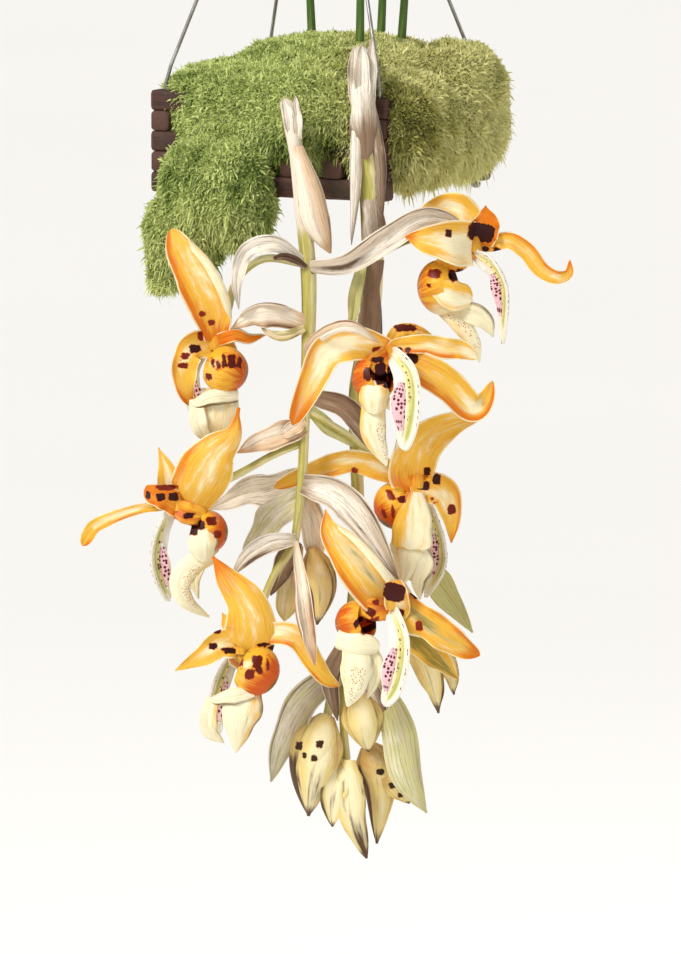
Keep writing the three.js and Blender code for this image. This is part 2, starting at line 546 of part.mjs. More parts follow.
// The second spike's buds: a closed body and the sepals that begin to part from it
const BUDS = [
  {
    body: { path: [[3, -298, -114], [-2, -313, -120], [-6, -334, -120], [-8, -357, -116]],
      half: 15, deep: 11, foot: 0.3, widest: 0.4, blunt: 0.8 },
    sepals: [{ path: [[3, -301, -122], [-1, -318, -131], [-5, -336, -131],
        [-8, -356, -119]], half: 12, cup: -0.9 }],
  },
  {
    body: { path: [[14, -324, -114], [13, -335, -118], [14, -348, -118], [15, -366, -116]],
      half: 10.5, deep: 8, foot: 0.3, widest: 0.35 },
    sepals: [
      { path: [[15, -326, -122], [16, -343, -127], [19, -361, -126],
          [26, -382, -118]], half: 7.5, cup: -0.7 },
      { path: [[12, -327, -118], [6, -339, -125], [3, -351, -124], [4, -363, -121]], half: 5 },
    ],
  },
  {
    body: { path: [[27, -316, -104], [31, -327, -107], [34, -342, -107], [32, -374, -103]],
      half: 12, deep: 8, foot: 0.4, widest: 0.35 },
    sepals: [{ path: [[33, -322, -112], [41, -334, -114], [45, -342, -112], [51, -350, -108]], half: 7 }],
  },
  {
    body: { path: [[21, -286, -118], [23, -297, -124], [25, -307, -124], [27, -319, -120]],
      half: 12, deep: 8, foot: 0.5, widest: 0.4 },
    sepals: [],
  },
  {
    body: { path: [[55, -236, -108], [58, -250, -112], [63, -268, -112], [68, -297, -108]],
      half: 9.5, deep: 7, foot: 0.3, widest: 0.45 },
    sepals: [{ path: [[58, -246, -116], [68, -260, -116], [74, -272, -114], [77, -286, -110]], half: 6 }],
  },
];

function budSolid({ body, sepals }, grow = 0) {
  const petals = sepals.map((shape) => blade({ rows: 3, columns: 2, ...seen(shape) }, grow));
  return join([bud(seen(body), grow), ...petals]);
}

// The plant above: ribbed bulbs, each with one pleated leaf
const BULB_FOOT = 36;
const BULB = { tall: 54, half: 14 };
const LEAF_ARCH = [[0, -2], [3, 36], [16, 80], [48, 132], [98, 170], [156, 176],
    [196, 152]]; // out and up
const BULBS = [
  { at: [-20, 38], lean: [-0.16, 0.14], turn: 150 },
  { at: [12, 44], lean: [0.02, 0.2], turn: 84 },
  { at: [36, 14], lean: [0.16, 0.02], turn: -2 },
  { at: [26, -12], lean: [0.12, -0.1], turn: -58 },
];

function bulbPath({ at, lean }) {
  const foot = spot(at[0], at[1], BULB_FOOT);
  const way = spot(lean[0], lean[1], 1).normalize();
  return [0, 0.33, 0.66, 1].map((t) => foot.clone().addScaledVector(way, t * BULB.tall));
}

function bulbSolid(spec, grow = 0) {
  const shape = { half: BULB.half, deep: BULB.half, foot: 0.6, widest: 0.35, blunt: 0.5 };
  return bud({ ...shape, ridge: 0.07, ribs: 4, rows: 3, path: bulbPath(spec) }, grow);
}

function leafSolid(spec, grow = 0) {
  const top = bulbPath(spec)[3];
  const turn = THREE.MathUtils.degToRad(spec.turn);
  const out = spot(Math.cos(turn), Math.sin(turn), 0);
  const path = LEAF_ARCH.map(([far, up]) => top.clone().addScaledVector(out, far).add(spot(0, 0, up)));
  const face = out.clone().multiplyScalar(-0.8).add(spot(0, 0, 0.6));
  const shape = { half: 38, foot: 0.05, widest: 0.5, rows: 6, columns: 4, pleats: 2, pleatDepth: 2 };
  return join([
    stem(path.slice(0, 2), [2.6, 2.2], { sides: 5, rows: 2 }, grow),
    blade({ ...shape, path: path.slice(1), face, faceTip: spot(0, 0, 1) }, grow),
  ]);
}

// Basket: crossed slats with a wire hole at each end, and floor slats that lie on the lowest pair
const block = (sizeX, sizeY, sizeZ, x, y, z) =>
  solidOf(new THREE.BoxGeometry(sizeX, sizeY, sizeZ).translate(x, y, z));
const rod = (x, y, low, high, radius, sides) =>
  stem([spot(x, y, low), spot(x, y, high)], [radius, radius], { sides, rows: 1 });
const HOLE = HALF - CORNER_INSET;
const CORNERS = [[-HOLE, -HOLE], [-HOLE, HOLE], [HOLE, -HOLE], [HOLE, HOLE]];

function slatPlan() {
  const side = HALF - BAR / 2;
  const plan = [];
  for (let layer = 0; layer < LAYERS; layer++) {
    const alongX = layer % 2 === 0;
    const words = alongX ? ["front", "back"] : ["left", "right"];
    words.forEach((word, i) => {
      const name = `slat_${word}_${Math.floor(layer / 2) + 1}`;
      plan.push({ name, alongX, offset: (2 * i - 1) * side, layer });
    });
  }
  for (let i = 1; i <= FLOOR_BARS; i++) {
    const offset = -side + (2 * side * i) / (FLOOR_BARS + 1);
    plan.push({ name: `slat_floor_${i}`, alongX: false, offset, layer: 1 });
  }
  return plan;
}

function slatSolid({ alongX, offset, layer }, grow = 0) {
  const long = BASKET + 2 * grow;
  const wide = BAR + 2 * grow;
  const z = BAR * (layer + 0.5);
  return alongX ? block(long, wide, wide, 0, offset, z) : block(wide, long, wide, offset, 0, z);
}

function wireHoles({ alongX, offset, layer }) {
  const own = CORNERS.filter(([x, y]) => Math.abs((alongX ? y : x) - offset) < BAR / 2);
  return own.map(([x, y]) => rod(x, y, BAR * (layer - 0.5), BAR * (layer + 1.5), WIRE + CLEAR, 6));
}

// A wire: straight up through its holes, then in to the collar, with a knob under the basket
function wireSolid([x, y], grow = 0) {
  const stations = [[1, -3], [1, RIM + 4], [0.97, RIM + 14], [0.05, COLLAR_BASE + 5]];
  const points = stations.map(([share, z]) => spot(x * share, y * share, z));
  const rings = points.map((point, i) => {
    const before = points[Math.max(i - 1, 0)];
    const after = points[Math.min(i + 1, points.length - 1)];
    const along = after.clone().sub(before).normalize();
    const side = spot(1, 0, 0).addScaledVector(along, -along.x).normalize();
    const other = new THREE.Vector3().crossVectors(along, side);
    const end = i === 0 ? -grow : i === points.length - 1 ? grow : 0;
    return ringOf(point.clone().addScaledVector(along, end), side, other, WIRE + grow, WIRE + grow, 5);
  });
  const knob = stem([spot(x, y, -4.5), spot(x, y, -CLEAR)], [2.2, 3, 2.2], { sides: 5, rows: 2 });
  return join([skin(rings), knob]);
}

function hookSolid() {
  const middle = HANG_HEIGHT - HOOK_RADIUS;
  const arc = Array.from({ length: 8 }, (_, i) => {
    const turn = THREE.MathUtils.degToRad(-90 - i * 36);
    return spot(HOOK_RADIUS * Math.cos(turn), 0, middle + HOOK_RADIUS * Math.sin(turn));
  });
  const shank = [COLLAR_BASE + 4, COLLAR_BASE + 18].map((z) => spot(0, 0, z));
  const collar = rod(0, 0, COLLAR_BASE, COLLAR_BASE + 12, COLLAR, 12);
  return join([collar, stem([...shank, ...arc], [HOOK_WIRE, HOOK_WIRE], { sides: 6, rows: 14 })]);
}

// Moss: soft lumps with a low relief from a few sine waves, bulging between the slats and hanging below
// the front
function mossLump(centre, size, { around = 9, up = 4, square = 0.75, relief = 0.08 } = {}) {
  const soft = (v) => Math.sign(v) * Math.abs(v) ** square;
  const rings = [];
  for (let r = 0; r <= up; r++) {
    const latitude = Math.PI * (0.03 + 0.94 * (r / up)) - Math.PI / 2;
    rings.push(
      Array.from({ length: around }, (_, k) => {
        const turn = (2 * Math.PI * k) / around;
        const waves = Math.sin(5 * turn + 2.1 * r) + Math.cos(3 * turn - 1.7 * r + 1);
        const swell = 1 + (relief * (waves + Math.sin(8 * turn + r))) / 3;
        const level = soft(Math.cos(latitude)) * swell;
        const upward = soft(Math.sin(latitude)) * swell;
        const offset = [soft(Math.cos(turn)) * level, soft(Math.sin(turn)) * level, upward];
        return spot(...offset.map((share, axis) => centre[axis] + size[axis] * share));
      }),
    );
  }
  return skin(rings);
}

function mossSolid() {
  return join([
    mossLump([0, 0, 44], [84, 84, 30], { around: 20, square: 0.45, relief: 0.04 }),
    mossLump([8, 8, 60], [64, 62, 26], { around: 11 }),
    mossLump([71, -32, 38], [22, 42, 32]),
    mossLump([70, 32, 46], [25, 42, 39]),
    mossLump([-30, -80, 6], [34, 18, 27]),
    mossLump([-50, -83, -22], [22, 13, 22]),
    mossLump([-16, -82, -8], [19, 11, 19]),
    mossLump([-63, -80, -38], [11, 9, 17], { around: 8 }),
  ]);
}

// Materials
const finish = (color, roughness, metalness = 0) =>
  new THREE.MeshStandardMaterial({ color, roughness, metalness });
const WOOD = finish(0x3a2115, 0.8);
const METAL = finish(0x8c8a84, 0.4, 0.9);
const MOSS = finish(0x6d7c34, 1);
const BULB_GREEN = finish(0x7f8f3c, 0.55);
const LEAF_GREEN = finish(0x4f7a2e, 0.5);
const STALK = finish(0xa39a5e, 0.6);
const TEPAL = finish(0xf3b23a, 0.45);
const LIP = finish(0xe08a2a, 0.3);
const COLUMN = finish(0xf3ecc9, 0.4);
const BUD = finish(0xe9d587, 0.5);

// Assembly
const part = new THREE.Group();
part.position.z = HOOK_WIRE - HANG_HEIGHT;

function add(name, solid, material) {
  const { vertProperties, triVerts, numProp } = solid.getMesh();
  const corners = Array.from({ length: vertProperties.length / numProp }, (_, i) =>
    spot(...vertProperties.subarray(i * numProp, i * numProp + 3)),
  );
  const geometry = new THREE.BufferGeometry().setFromPoints(corners);
  geometry.setIndex(new THREE.BufferAttribute(triVerts, 1));
  const mesh = new THREE.Mesh(geometry, material);
  mesh.name = name;
  part.add(mesh);
}

const plan = slatPlan();
for (const slat of plan) {
  const holes = slat.name.includes("floor") ? [] : wireHoles(slat);
  add(slat.name, cutBy(slatSolid(slat), holes), WOOD);
}
CORNERS.forEach((corner, i) => add(`hanger_wire_${i + 1}`, wireSolid(corner), METAL));
const wireRoom = CORNERS.map((corner) => wireSolid(corner, CLEAR));
add("hanger_hook", mainBody(cutBy(hookSolid(), wireRoom)), METAL);

const bloomRoom = BLOOMS.flatMap((bloom) => {
  const tepalRoom = tepalSolid(bloom, CLEAR);
  const columnRoom = columnSolid(bloom, CLEAR);
  add(`${bloom.name}_tepals`, mainBody(tepalSolid(bloom)), TEPAL);
  add(`${bloom.name}_column`, mainBody(columnSolid(bloom).subtract(tepalRoom)), COLUMN);
  add(`${bloom.name}_lip`, mainBody(cutBy(lipSolid(bloom), [tepalRoom, columnRoom])), LIP);
  return [tepalRoom, columnRoom, lipSolid(bloom, CLEAR)];
});

const budRoom = BUDS.map((spec) => budSolid(spec, CLEAR));
BUDS.forEach((spec, i) => add(`bud_${i + 1}`, mainBody(cutBy(budSolid(spec), budRoom.slice(0, i))), BUD));
const slatRoom = plan.map((slat) => slatSolid(slat, CLEAR));
for (const [i, spike] of [SPIKE_1, SPIKE_2].entries()) {
  const solid = mainBody(cutBy(spikeSolid(spike), [...bloomRoom, ...budRoom, ...slatRoom]));
  add(`spike_${i + 1}_stem`, solid, STALK);
}

const bulbRoom = BULBS.map((spec) => bulbSolid(spec, CLEAR));
BULBS.forEach((spec, i) => {
  add(`bulb_${i + 1}`, bulbSolid(spec), BULB_GREEN);
  add(`leaf_${i + 1}`, mainBody(cutBy(leafSolid(spec), [bulbRoom[i], ...wireRoom])), LEAF_GREEN);
});

const spikeRoom = [SPIKE_1, SPIKE_2].map((spike) => spikeSolid(spike, CLEAR));
add("moss", mainBody(cutBy(mossSolid(), [...slatRoom, ...wireRoom, ...bulbRoom, ...spikeRoom])), MOSS);

export default part;
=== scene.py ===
# A Stanhopea orchid in a hanging basket of moss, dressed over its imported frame.
# Shapes are in millimetres above the basket's underside until they become a piece, in metres below the hook.
import math

import bpy
import numpy as np
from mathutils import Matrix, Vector


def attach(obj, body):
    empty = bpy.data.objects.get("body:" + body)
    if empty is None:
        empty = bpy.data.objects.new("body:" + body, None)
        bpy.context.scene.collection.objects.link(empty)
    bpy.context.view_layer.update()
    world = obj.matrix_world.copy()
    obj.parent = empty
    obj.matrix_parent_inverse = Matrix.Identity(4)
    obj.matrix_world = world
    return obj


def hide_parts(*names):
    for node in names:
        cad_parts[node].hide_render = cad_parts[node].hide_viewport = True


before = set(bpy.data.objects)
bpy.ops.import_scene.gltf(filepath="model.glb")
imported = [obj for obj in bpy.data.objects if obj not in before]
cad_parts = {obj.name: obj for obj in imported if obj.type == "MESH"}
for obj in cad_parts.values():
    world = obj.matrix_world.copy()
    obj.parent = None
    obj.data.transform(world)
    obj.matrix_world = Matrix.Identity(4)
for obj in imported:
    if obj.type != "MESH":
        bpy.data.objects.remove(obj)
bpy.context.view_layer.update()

# Driving dimensions, as in the part's source
BASKET = 152
BAR = 12
LAYERS = 5
FLOOR_BARS = 4
CORNER_INSET = 7
WIRE = 1.1
HANG_HEIGHT = 360
HOOK_RADIUS = 14
HOOK_WIRE = 2.2
COLLAR = 7
COLLAR_BASE = HANG_HEIGHT - 2 * HOOK_RADIUS - 34
VIEW_TURN = math.radians(25)
VIEW_TILT = math.radians(8)
HALF = BASKET / 2
RIM = BAR * LAYERS
NEAR_CORNER = -HALF * (math.cos(VIEW_TURN) + math.sin(VIEW_TURN))
ORIGIN = np.array([0, 0, HOOK_WIRE - HANG_HEIGHT])
MM = 0.001
SHARP_EDGE = math.radians(50)  # faces that meet at more than this are not blended
NO_SPOT = (3.0, 0, 0)  # a mark on bare skin
LEAST_WIDTH = 0.06  # of a blade or bud at its tip, as a share of its widest
CROWDED = 1.35  # how closely a blade's columns crowd towards its margins
ROOTED_WITHIN = 4  # mm from the hub; a path that starts further away gets a root


# Directions and places as the viewer sees them: right, up, back
def aim(way):
    right, up, back = np.moveaxis(np.asarray(way, float), -1, 0)
    c, s = math.cos(VIEW_TURN), math.sin(VIEW_TURN)
    return np.stack([right * c - back * s, right * s + back * c, up], -1)


def place(way):
    right, up, back = np.moveaxis(np.asarray(way, float), -1, 0)
    z = (up + (NEAR_CORNER - back) * math.sin(VIEW_TILT)) / math.cos(VIEW_TILT)
    return aim(np.stack([right, z, back], -1))


def picture(points):
    """Right and up on the picture plane, the reverse of place."""
    c, s = math.cos(VIEW_TURN), math.sin(VIEW_TURN)
    right = points[..., 0] * c + points[..., 1] * s
    back = points[..., 1] * c - points[..., 0] * s
    up = points[..., 2] * math.cos(VIEW_TILT) - (NEAR_CORNER - back) * math.sin(VIEW_TILT)
    return right, up


def unit(vectors):
    return vectors / np.maximum(np.linalg.norm(vectors, axis=-1, keepdims=True), 1e-9)


def smooth(low, high, values):
    x = np.clip((values - low) / (high - low), 0, 1)
    return x * x * (3 - 2 * x)


def hill(values, centre, width):
    """One at the centre, falling off smoothly to both sides."""
    return np.exp(-(((values - centre) / width) ** 2))


def band(values, low, start, end, high):
    """Rises from low to start and falls from end to high."""
    return smooth(low, start, values) * (1 - smooth(end, high, values))


def spline(path, t):
    """Points and directions at shares t of a Catmull-Rom curve through the path."""
    p = np.asarray(path, float)
    ends = np.vstack([2 * p[:1] - p[1:2], p, 2 * p[-1:] - p[-2:-1]])

    def at(shares):
        x = np.clip(shares, 0, 1) * (len(p) - 1)
        i = np.minimum(x.astype(int), len(p) - 2)
        w = (x - i)[:, None]
        before, low, high, after = (ends[i + k] for k in range(4))
        out, into = (high - before) / 2, (after - low) / 2
        cubic, square = 2 * low - 2 * high + out + into, 3 * high - 3 * low - 2 * out - into
        return ((cubic * w + square) * w + out) * w + low

    return at(t), unit(at(t + 1e-3) - at(t - 1e-3))


# Pieces: grids of points gathered into one mesh, with paint kept at each point
class Skin:
    """Paint: tone is warm, pale, dark and speckled; grain is across and along in mm; mark is the mm to the
    nearest spot's edge and how red that spot is."""

    def __init__(self):
        self.points, self.faces, self.tone, self.grain, self.mark = [], [], [], [], []
        self.count = 0

    def add(self, points, faces, tone=None, grain=None, mark=None):
        n = len(points)
        self.points.append(points)
        self.faces.append(faces + self.count)
        self.tone.append(np.zeros((n, 4)) if tone is None else tone)
        self.grain.append(points if grain is None else grain)
        self.mark.append(np.tile(NO_SPOT, (n, 1)) if mark is None else mark)
        self.count += n

    def piece(self, name, material, slot, *nodes):
        mesh = bpy.data.meshes.new(name)
        points = (np.concatenate(self.points) + ORIGIN) * MM
        faces = np.concatenate(self.faces)
        mesh.vertices.add(len(points))
        mesh.vertices.foreach_set("co", points.ravel())
        mesh.loops.add(faces.size)
        mesh.loops.foreach_set("vertex_index", faces.ravel())
        mesh.polygons.add(len(faces))
        mesh.polygons.foreach_set("loop_start", np.arange(0, faces.size, 4))
        mesh.polygons.foreach_set("use_smooth", np.ones(len(faces), bool))
        for label, kind, key, values in (
            ("tone", "FLOAT_COLOR", "color", self.tone),
            ("grain", "FLOAT_VECTOR", "vector", self.grain),
            ("mark", "FLOAT_VECTOR", "vector", self.mark),
        ):
            data = mesh.attributes.new(label, kind, "POINT").data
            data.foreach_set(key, np.concatenate(values).ravel())
        mesh.update(calc_edges=True)
        mesh.validate()
        mesh.set_sharp_from_angle(angle=SHARP_EDGE)
        mesh.materials.append(material)
        made = bpy.data.objects.new(name, mesh)
        bpy.context.collection.objects.link(made)
        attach(made, "root")
        if nodes:
            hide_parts(*nodes)
        return made


def tube_faces(rows, count):
    """Quads between rings of `count` points, with a strip over each end."""
    r, k = np.meshgrid(np.arange(rows), np.arange(count), indexing="ij")
    a, b = r * count + k, r * count + (k + 1) % count
    sides = np.stack([a, b, b + count, a + count], -1).reshape(-1, 4)
    k = np.arange((count - 2) // 2)
    strip = np.stack([k, count - 1 - k, count - 2 - k, k + 1], -1)
    return np.vstack([sides, strip, rows * count + strip[:, ::-1]])


def outward(points, faces, heart=None):
    """The faces, turned so that they look away from the heart of their points."""
    away = points - (points.mean(0) if heart is None else heart)
    a, b, c, d = (away[faces[:, k]] for k in range(4))
    inside = np.einsum("ij,ij->i", a, np.cross(b, c)) + np.einsum("ij,ij->i", a, np.cross(c, d))
    return faces if inside.sum() > 0 else faces[:, ::-1]


def spot_marks(points, spots):
    """Millimetres from each point to the nearest spot's edge as the viewer sees it, and how red it is."""
    right, up = picture(points)
    marks = np.tile(NO_SPOT, (len(points), 1))
    for x, y, wide, tall, *more in spots:
        red, turn = (*more, *(0.1, 0)[len(more):])
        c, s = math.cos(math.radians(turn)), math.sin(math.radians(turn))
        across, along = (right - x) * c + (up - y) * s, (up - y) * c - (right - x) * s
        share = (np.abs(across / wide) ** 4 + np.abs(along / tall) ** 4) ** 0.25
        distance = (share - 1) * min(wide, tall)
        nearer = distance < marks[:, 0]
        marks[nearer, 0] = distance[nearer]
        marks[nearer, 1] = red
    return marks


def half_width(t, half, widest=0.42, foot=0.4, blunt=0.8, **_):
    rise = foot + (1 - foot) * np.sin(np.pi / 2 * np.minimum(t / widest, 1))
    fall = np.cos(np.pi / 2 * np.maximum((t - widest) / (1 - widest), 0))
    share = np.where(t < widest, rise, np.maximum(fall, 0) ** blunt)
    return half * np.maximum(share, LEAST_WIDTH)


def section(s, lean):
    """Across and lift, as shares of the half width, of a line that leans by these angles."""
    between = (lean[:, 1:] + lean[:, :-1]) / 2
    start = np.zeros((len(lean), 1))
    across = np.hstack([start, np.cumsum(np.cos(between) * np.diff(s), 1)])
    lift = np.hstack([start, np.cumsum(np.sin(between) * np.diff(s), 1)])
    centre = [len(s) // 2]
    return across - across[:, centre], lift - lift[:, centre]


def blade(skin, shape, paint, spots=(), rows=36, columns=20):
    """A petal, sepal, bract or leaf: a thin sheet with folded and waved margins and a midrib.

    Left and right are as one walks from its base to its tip."""
    look = dict(face=aim([0, 0, -1]), cup=0.5, thick=1.6, curl=0, ripple=0.6, waves=3, rib=0.35, phase=0)
    look.update(fold=(0, 0), fold_from=0.55, fold_to=0.92, fleshy=0.36, uneven=0.05)
    look.update(shape)
    t = np.linspace(0, 1, rows + 1)
    s = np.sin(np.linspace(-1, 1, columns + 1) * CROWDED) / math.sin(CROWDED)
    middle, along = spline(look["path"], t)
    face, tip = np.asarray(look["face"], float), np.asarray(look.get("face_tip", look["face"]), float)
    front = face + (tip - face) * t[:, None]
    front = unit(front - along * np.sum(front * along, -1, keepdims=True))
    side = np.cross(along, front)
    keys = {k: v for k, v in shape.items() if k in ("half", "widest", "foot", "blunt")}
    half = half_width(t, **keys)[:, None]
    swell = np.sin(np.pi * t[:, None]) ** 0.5
    swing = np.sin(2 * np.pi * (look["waves"] * t[:, None] + look["phase"]) + 1.3 * np.sign(s))
    uneven = np.sin(2 * np.pi * (1.7 * t[:, None] + look["phase"]) + 2 * np.sign(s)) + 0.4 * swing
    half = half * (1 + look["uneven"] * uneven * np.abs(s) * swell)
    lean = look["cup"] * (1 + look["curl"] * t[:, None] ** 2) * s
    if "wrap" in look:
        lean = -half / look["wrap"] * s
    span = band(t, 0.04, 0.3, look["fold_to"] - 0.2, look["fold_to"])
    folds = np.where(s < 0, look["fold"][0], look["fold"][1]) * np.sign(s) * span[:, None]
    folds = folds * smooth(look["fold_from"], look["fold_from"] + 0.3, np.abs(s))
    wide, _ = section(s, lean)
    across, lift = section(s, lean + folds)
    for flank, edge in ((s < 0, 0), (s > 0, -1)):
        gain = (np.abs(wide[:, edge]) / np.abs(across[:, flank]).max(1))[:, None]
        across[:, flank] *= gain
        lift[:, flank] *= gain
    lift = half * lift + look["ripple"] * np.abs(s) ** 3 * swing * swell
    lift = lift - look["rib"] * hill(s, 0, 0.13) * swell
    if "pleats" in look:
        pleat = np.cos(np.pi * look["pleats"] * s) + 0.35 * np.cos(np.pi * look["fine_pleats"] * s)
        lift = lift + look["pleat_depth"] * pleat * swell
    bend = (lean + folds)[..., None]
    normal = front[:, None] * np.cos(bend) - side[:, None] * np.sin(bend)
    sheet = middle[:, None] + side[:, None] * (half * across)[..., None] + front[:, None] * lift[..., None]
    depth = look["fleshy"] * look["thick"] * np.sqrt(1 - 0.8 * s**2)[None, :, None]
    faced, backed = sheet + normal * depth, (sheet - normal * depth)[:, ::-1]
    rings = np.concatenate([faced, backed], 1).reshape(-1, 3)
    count = 2 * (columns + 1)
    grid_t = np.repeat(t, count)
    grid_s = np.tile(np.concatenate([s, s[::-1]]), rows + 1)
    seen = np.tile(np.repeat([1.0, 0.0], columns + 1), rows + 1)
    length = np.linalg.norm(np.diff(middle, axis=0), axis=1).sum()
    grain = np.stack([grid_s * look["half"], grid_t * length, seen * 40 + look["phase"] * 300], -1)
    tone = paint(grid_t, grid_s, seen)
    for kind, at_t, at_s, size_t, size_s, strength in look.get("patches", ()):
        patch = strength * hill(grid_t, at_t, size_t) * hill(grid_s, at_s, size_s)
        tone[:, kind] += patch * seen
    faces = outward(rings, tube_faces(rows, count))
    skin.add(rings, faces, np.clip(tone, 0, 1), grain, spot_marks(rings, spots))


def stem(skin, path, radii, paint, sides=14, rows=None, ridge=0.04, ribs=5):
    """A round stem with low ridges along it."""
    rows = rows or 8 * (len(path) - 1)
    t = np.linspace(0, 1, rows + 1)
    middle, along = spline(path, t)
    radius = np.interp(t, np.linspace(0, 1, len(radii)), radii)
    side = np.empty_like(along)
    last = np.array([1, 0.3, 0.2])
    for r in range(rows + 1):
        last = unit(last - along[r] * (last @ along[r]))
        side[r] = last
    other = np.cross(along, side)
    turn = 2 * np.pi * np.arange(sides) / sides
    swell = radius[:, None, None] * (1 + ridge * np.cos(ribs * turn))[None, :, None]
    ring = side[:, None] * np.cos(turn)[None, :, None] + other[:, None] * np.sin(turn)[None, :, None]
    points = (middle[:, None] + ring * swell).reshape(-1, 3)
    length = np.linalg.norm(np.diff(middle, axis=0), axis=1).sum()
    grid_t, grid_k = np.repeat(t, sides), np.tile(turn, rows + 1)
    grain = np.stack([np.cos(grid_k) * radius.mean() * 2, grid_t * length, np.sin(grid_k) * 8], -1)
    tone = paint(grid_t, np.cos(grid_k), np.ones_like(grid_t))
    skin.add(points, outward(points, tube_faces(rows, sides)), np.clip(tone, 0, 1), grain)


def bud(skin, shape, paint, spots=(), rows=30, sides=36):
    """A closed bud or bulb with ridges, and grooves where its sepals meet."""
    look = dict(deep=shape["half"] * 0.8, ridge=0.1, ribs=3, groove=0.05)
    look.update(shape)
    t = np.linspace(0, 1, rows + 1)
    middle, along = spline(look["path"], t)
    front = aim([0, 0, -1]) * np.ones((rows + 1, 1))
    front = unit(front - along * np.sum(front * along, -1, keepdims=True))
    side = np.cross(along, front)
    keys = {k: v for k, v in shape.items() if k in ("widest", "foot", "blunt")}
    share = half_width(t, half=1, **keys)
    turn = 2 * np.pi * np.arange(sides) / sides
    lobes = np.cos(look["ribs"] * turn)
    seam = hill(lobes, -1, 0.12)
    swell = share[:, None] * (1 + look["ridge"] * lobes - look["groove"] * seam)
    out = side[:, None] * (look["half"] * swell * np.sin(turn))[..., None]
    out = out + front[:, None] * (look["deep"] * swell * np.cos(turn))[..., None]
    points = (middle[:, None] + out).reshape(-1, 3)
    length = np.linalg.norm(np.diff(middle, axis=0), axis=1).sum()
    grid_t, grid_k = np.repeat(t, sides), np.tile(turn, rows + 1)
    grain = np.stack([np.sin(grid_k) * look["half"], grid_t * length, np.cos(grid_k) * 10], -1)
    tone = paint(grid_t, np.sin(grid_k), (np.cos(grid_k) > 0).astype(float))
    # Painted shade in the grooves where the sepals meet, on buds and bulbs alike.
    tone[:, DARK] += 0.3 * np.tile(seam, rows + 1)
    faces = outward(points, tube_faces(rows, sides))
    skin.add(points, faces, np.clip(tone, 0, 1), grain, spot_marks(points, spots))


WARM, PALE, DARK = range(3)  # the first three kinds of paint in a tone
SAC_WALL = 2.4
SAC_OUTSIDE = (178, 55)  # degrees round from the middle of the mouth
SAC_RIM = (56.0, 59.0, 62.0)
SAC_INSIDE = (64, 172)
RIM_STEPS = (0.0, -0.35, -0.8)  # how far the rim has turned in, as shares of the wall


def sac(skin, spec, spots=(), sides=44, rows=20):
    """The lip's hollow ball, with its mouth towards `mouth`."""
    centre = place(spec["at"])
    opening = unit(aim(spec["mouth"]))
    side = unit(np.cross(opening, [0, 0, 1]))
    upward = np.cross(side, opening)
    outside = np.radians(np.linspace(*SAC_OUTSIDE, rows))
    inside = np.radians(np.linspace(*SAC_INSIDE, rows // 2))
    angles = np.concatenate([outside, np.radians(SAC_RIM), inside])
    radius = spec["radius"]
    sizes = np.concatenate([
        np.full(len(outside), radius),
        radius + SAC_WALL * np.array(RIM_STEPS),
        np.full(len(inside), radius - SAC_WALL),
    ])
    turn = 2 * np.pi * np.arange(sides) / sides
    wrinkle = 1 + 0.02 * np.sin(5 * turn)[None] * np.sin(angles)[:, None] ** 2
    ring = side * (np.cos(turn) * np.ones((len(angles), 1)) * wrinkle)[..., None]
    ring = ring + upward * (spec.get("tall", 1.1) * np.sin(turn) * wrinkle)[..., None]
    ahead, out = sizes * np.cos(angles), sizes * np.sin(angles)
    points = opening * ahead[:, None, None] + ring * out[:, None, None]
    points = (points + centre).reshape(-1, 3)
    step, turns = np.repeat(np.arange(len(angles)), sides), np.tile(turn, len(angles))
    within = smooth(rows - 1, rows + 3, step)
    tone = np.zeros((len(points), 4))
    right, up = (now - then for now, then in zip(picture(points), picture(centre)))
    # Painted light and shade: warmer and darker towards the way `shade` points, which is painted shade;
    # paler low down away from it; a painted highlight, the glint, on the far side; painted shade inside the
    # mouth, as strong as `inside`.
    shade = unit(np.array(spec["shade"]))
    toward = (right * shade[0] + up * shade[1]) / radius
    deep = spec.get("deep", 0.7)
    tone[:, WARM] = np.maximum(0.1 + deep * smooth(-0.35, 0.9, toward), within)
    tone[:, PALE] = spec.get("pale", 0.5) * smooth(0.35, 0.95, -up / radius) * (1 - smooth(0, 0.7, toward))
    glint = hill(toward, -0.5, 0.2) * hill(up / radius, 0.35, 0.22)
    tone[:, PALE] += 0.55 * glint * (1 - within)
    tone[:, DARK] = np.maximum(spec.get("inside", 0.3) * within, deep * smooth(0.78, 1.02, toward))
    tone[:, DARK] += 0.4 * smooth(-0.5, -0.85, toward) * smooth(-0.2, 0.5, up / radius) * (1 - within)
    faces = outward(points, tube_faces(len(angles) - 1, sides), centre)
    grain = np.stack([turns * radius, np.degrees(angles[step]) / 4, within * 30], -1)
    skin.add(points, faces, tone, grain, spot_marks(points, spots))
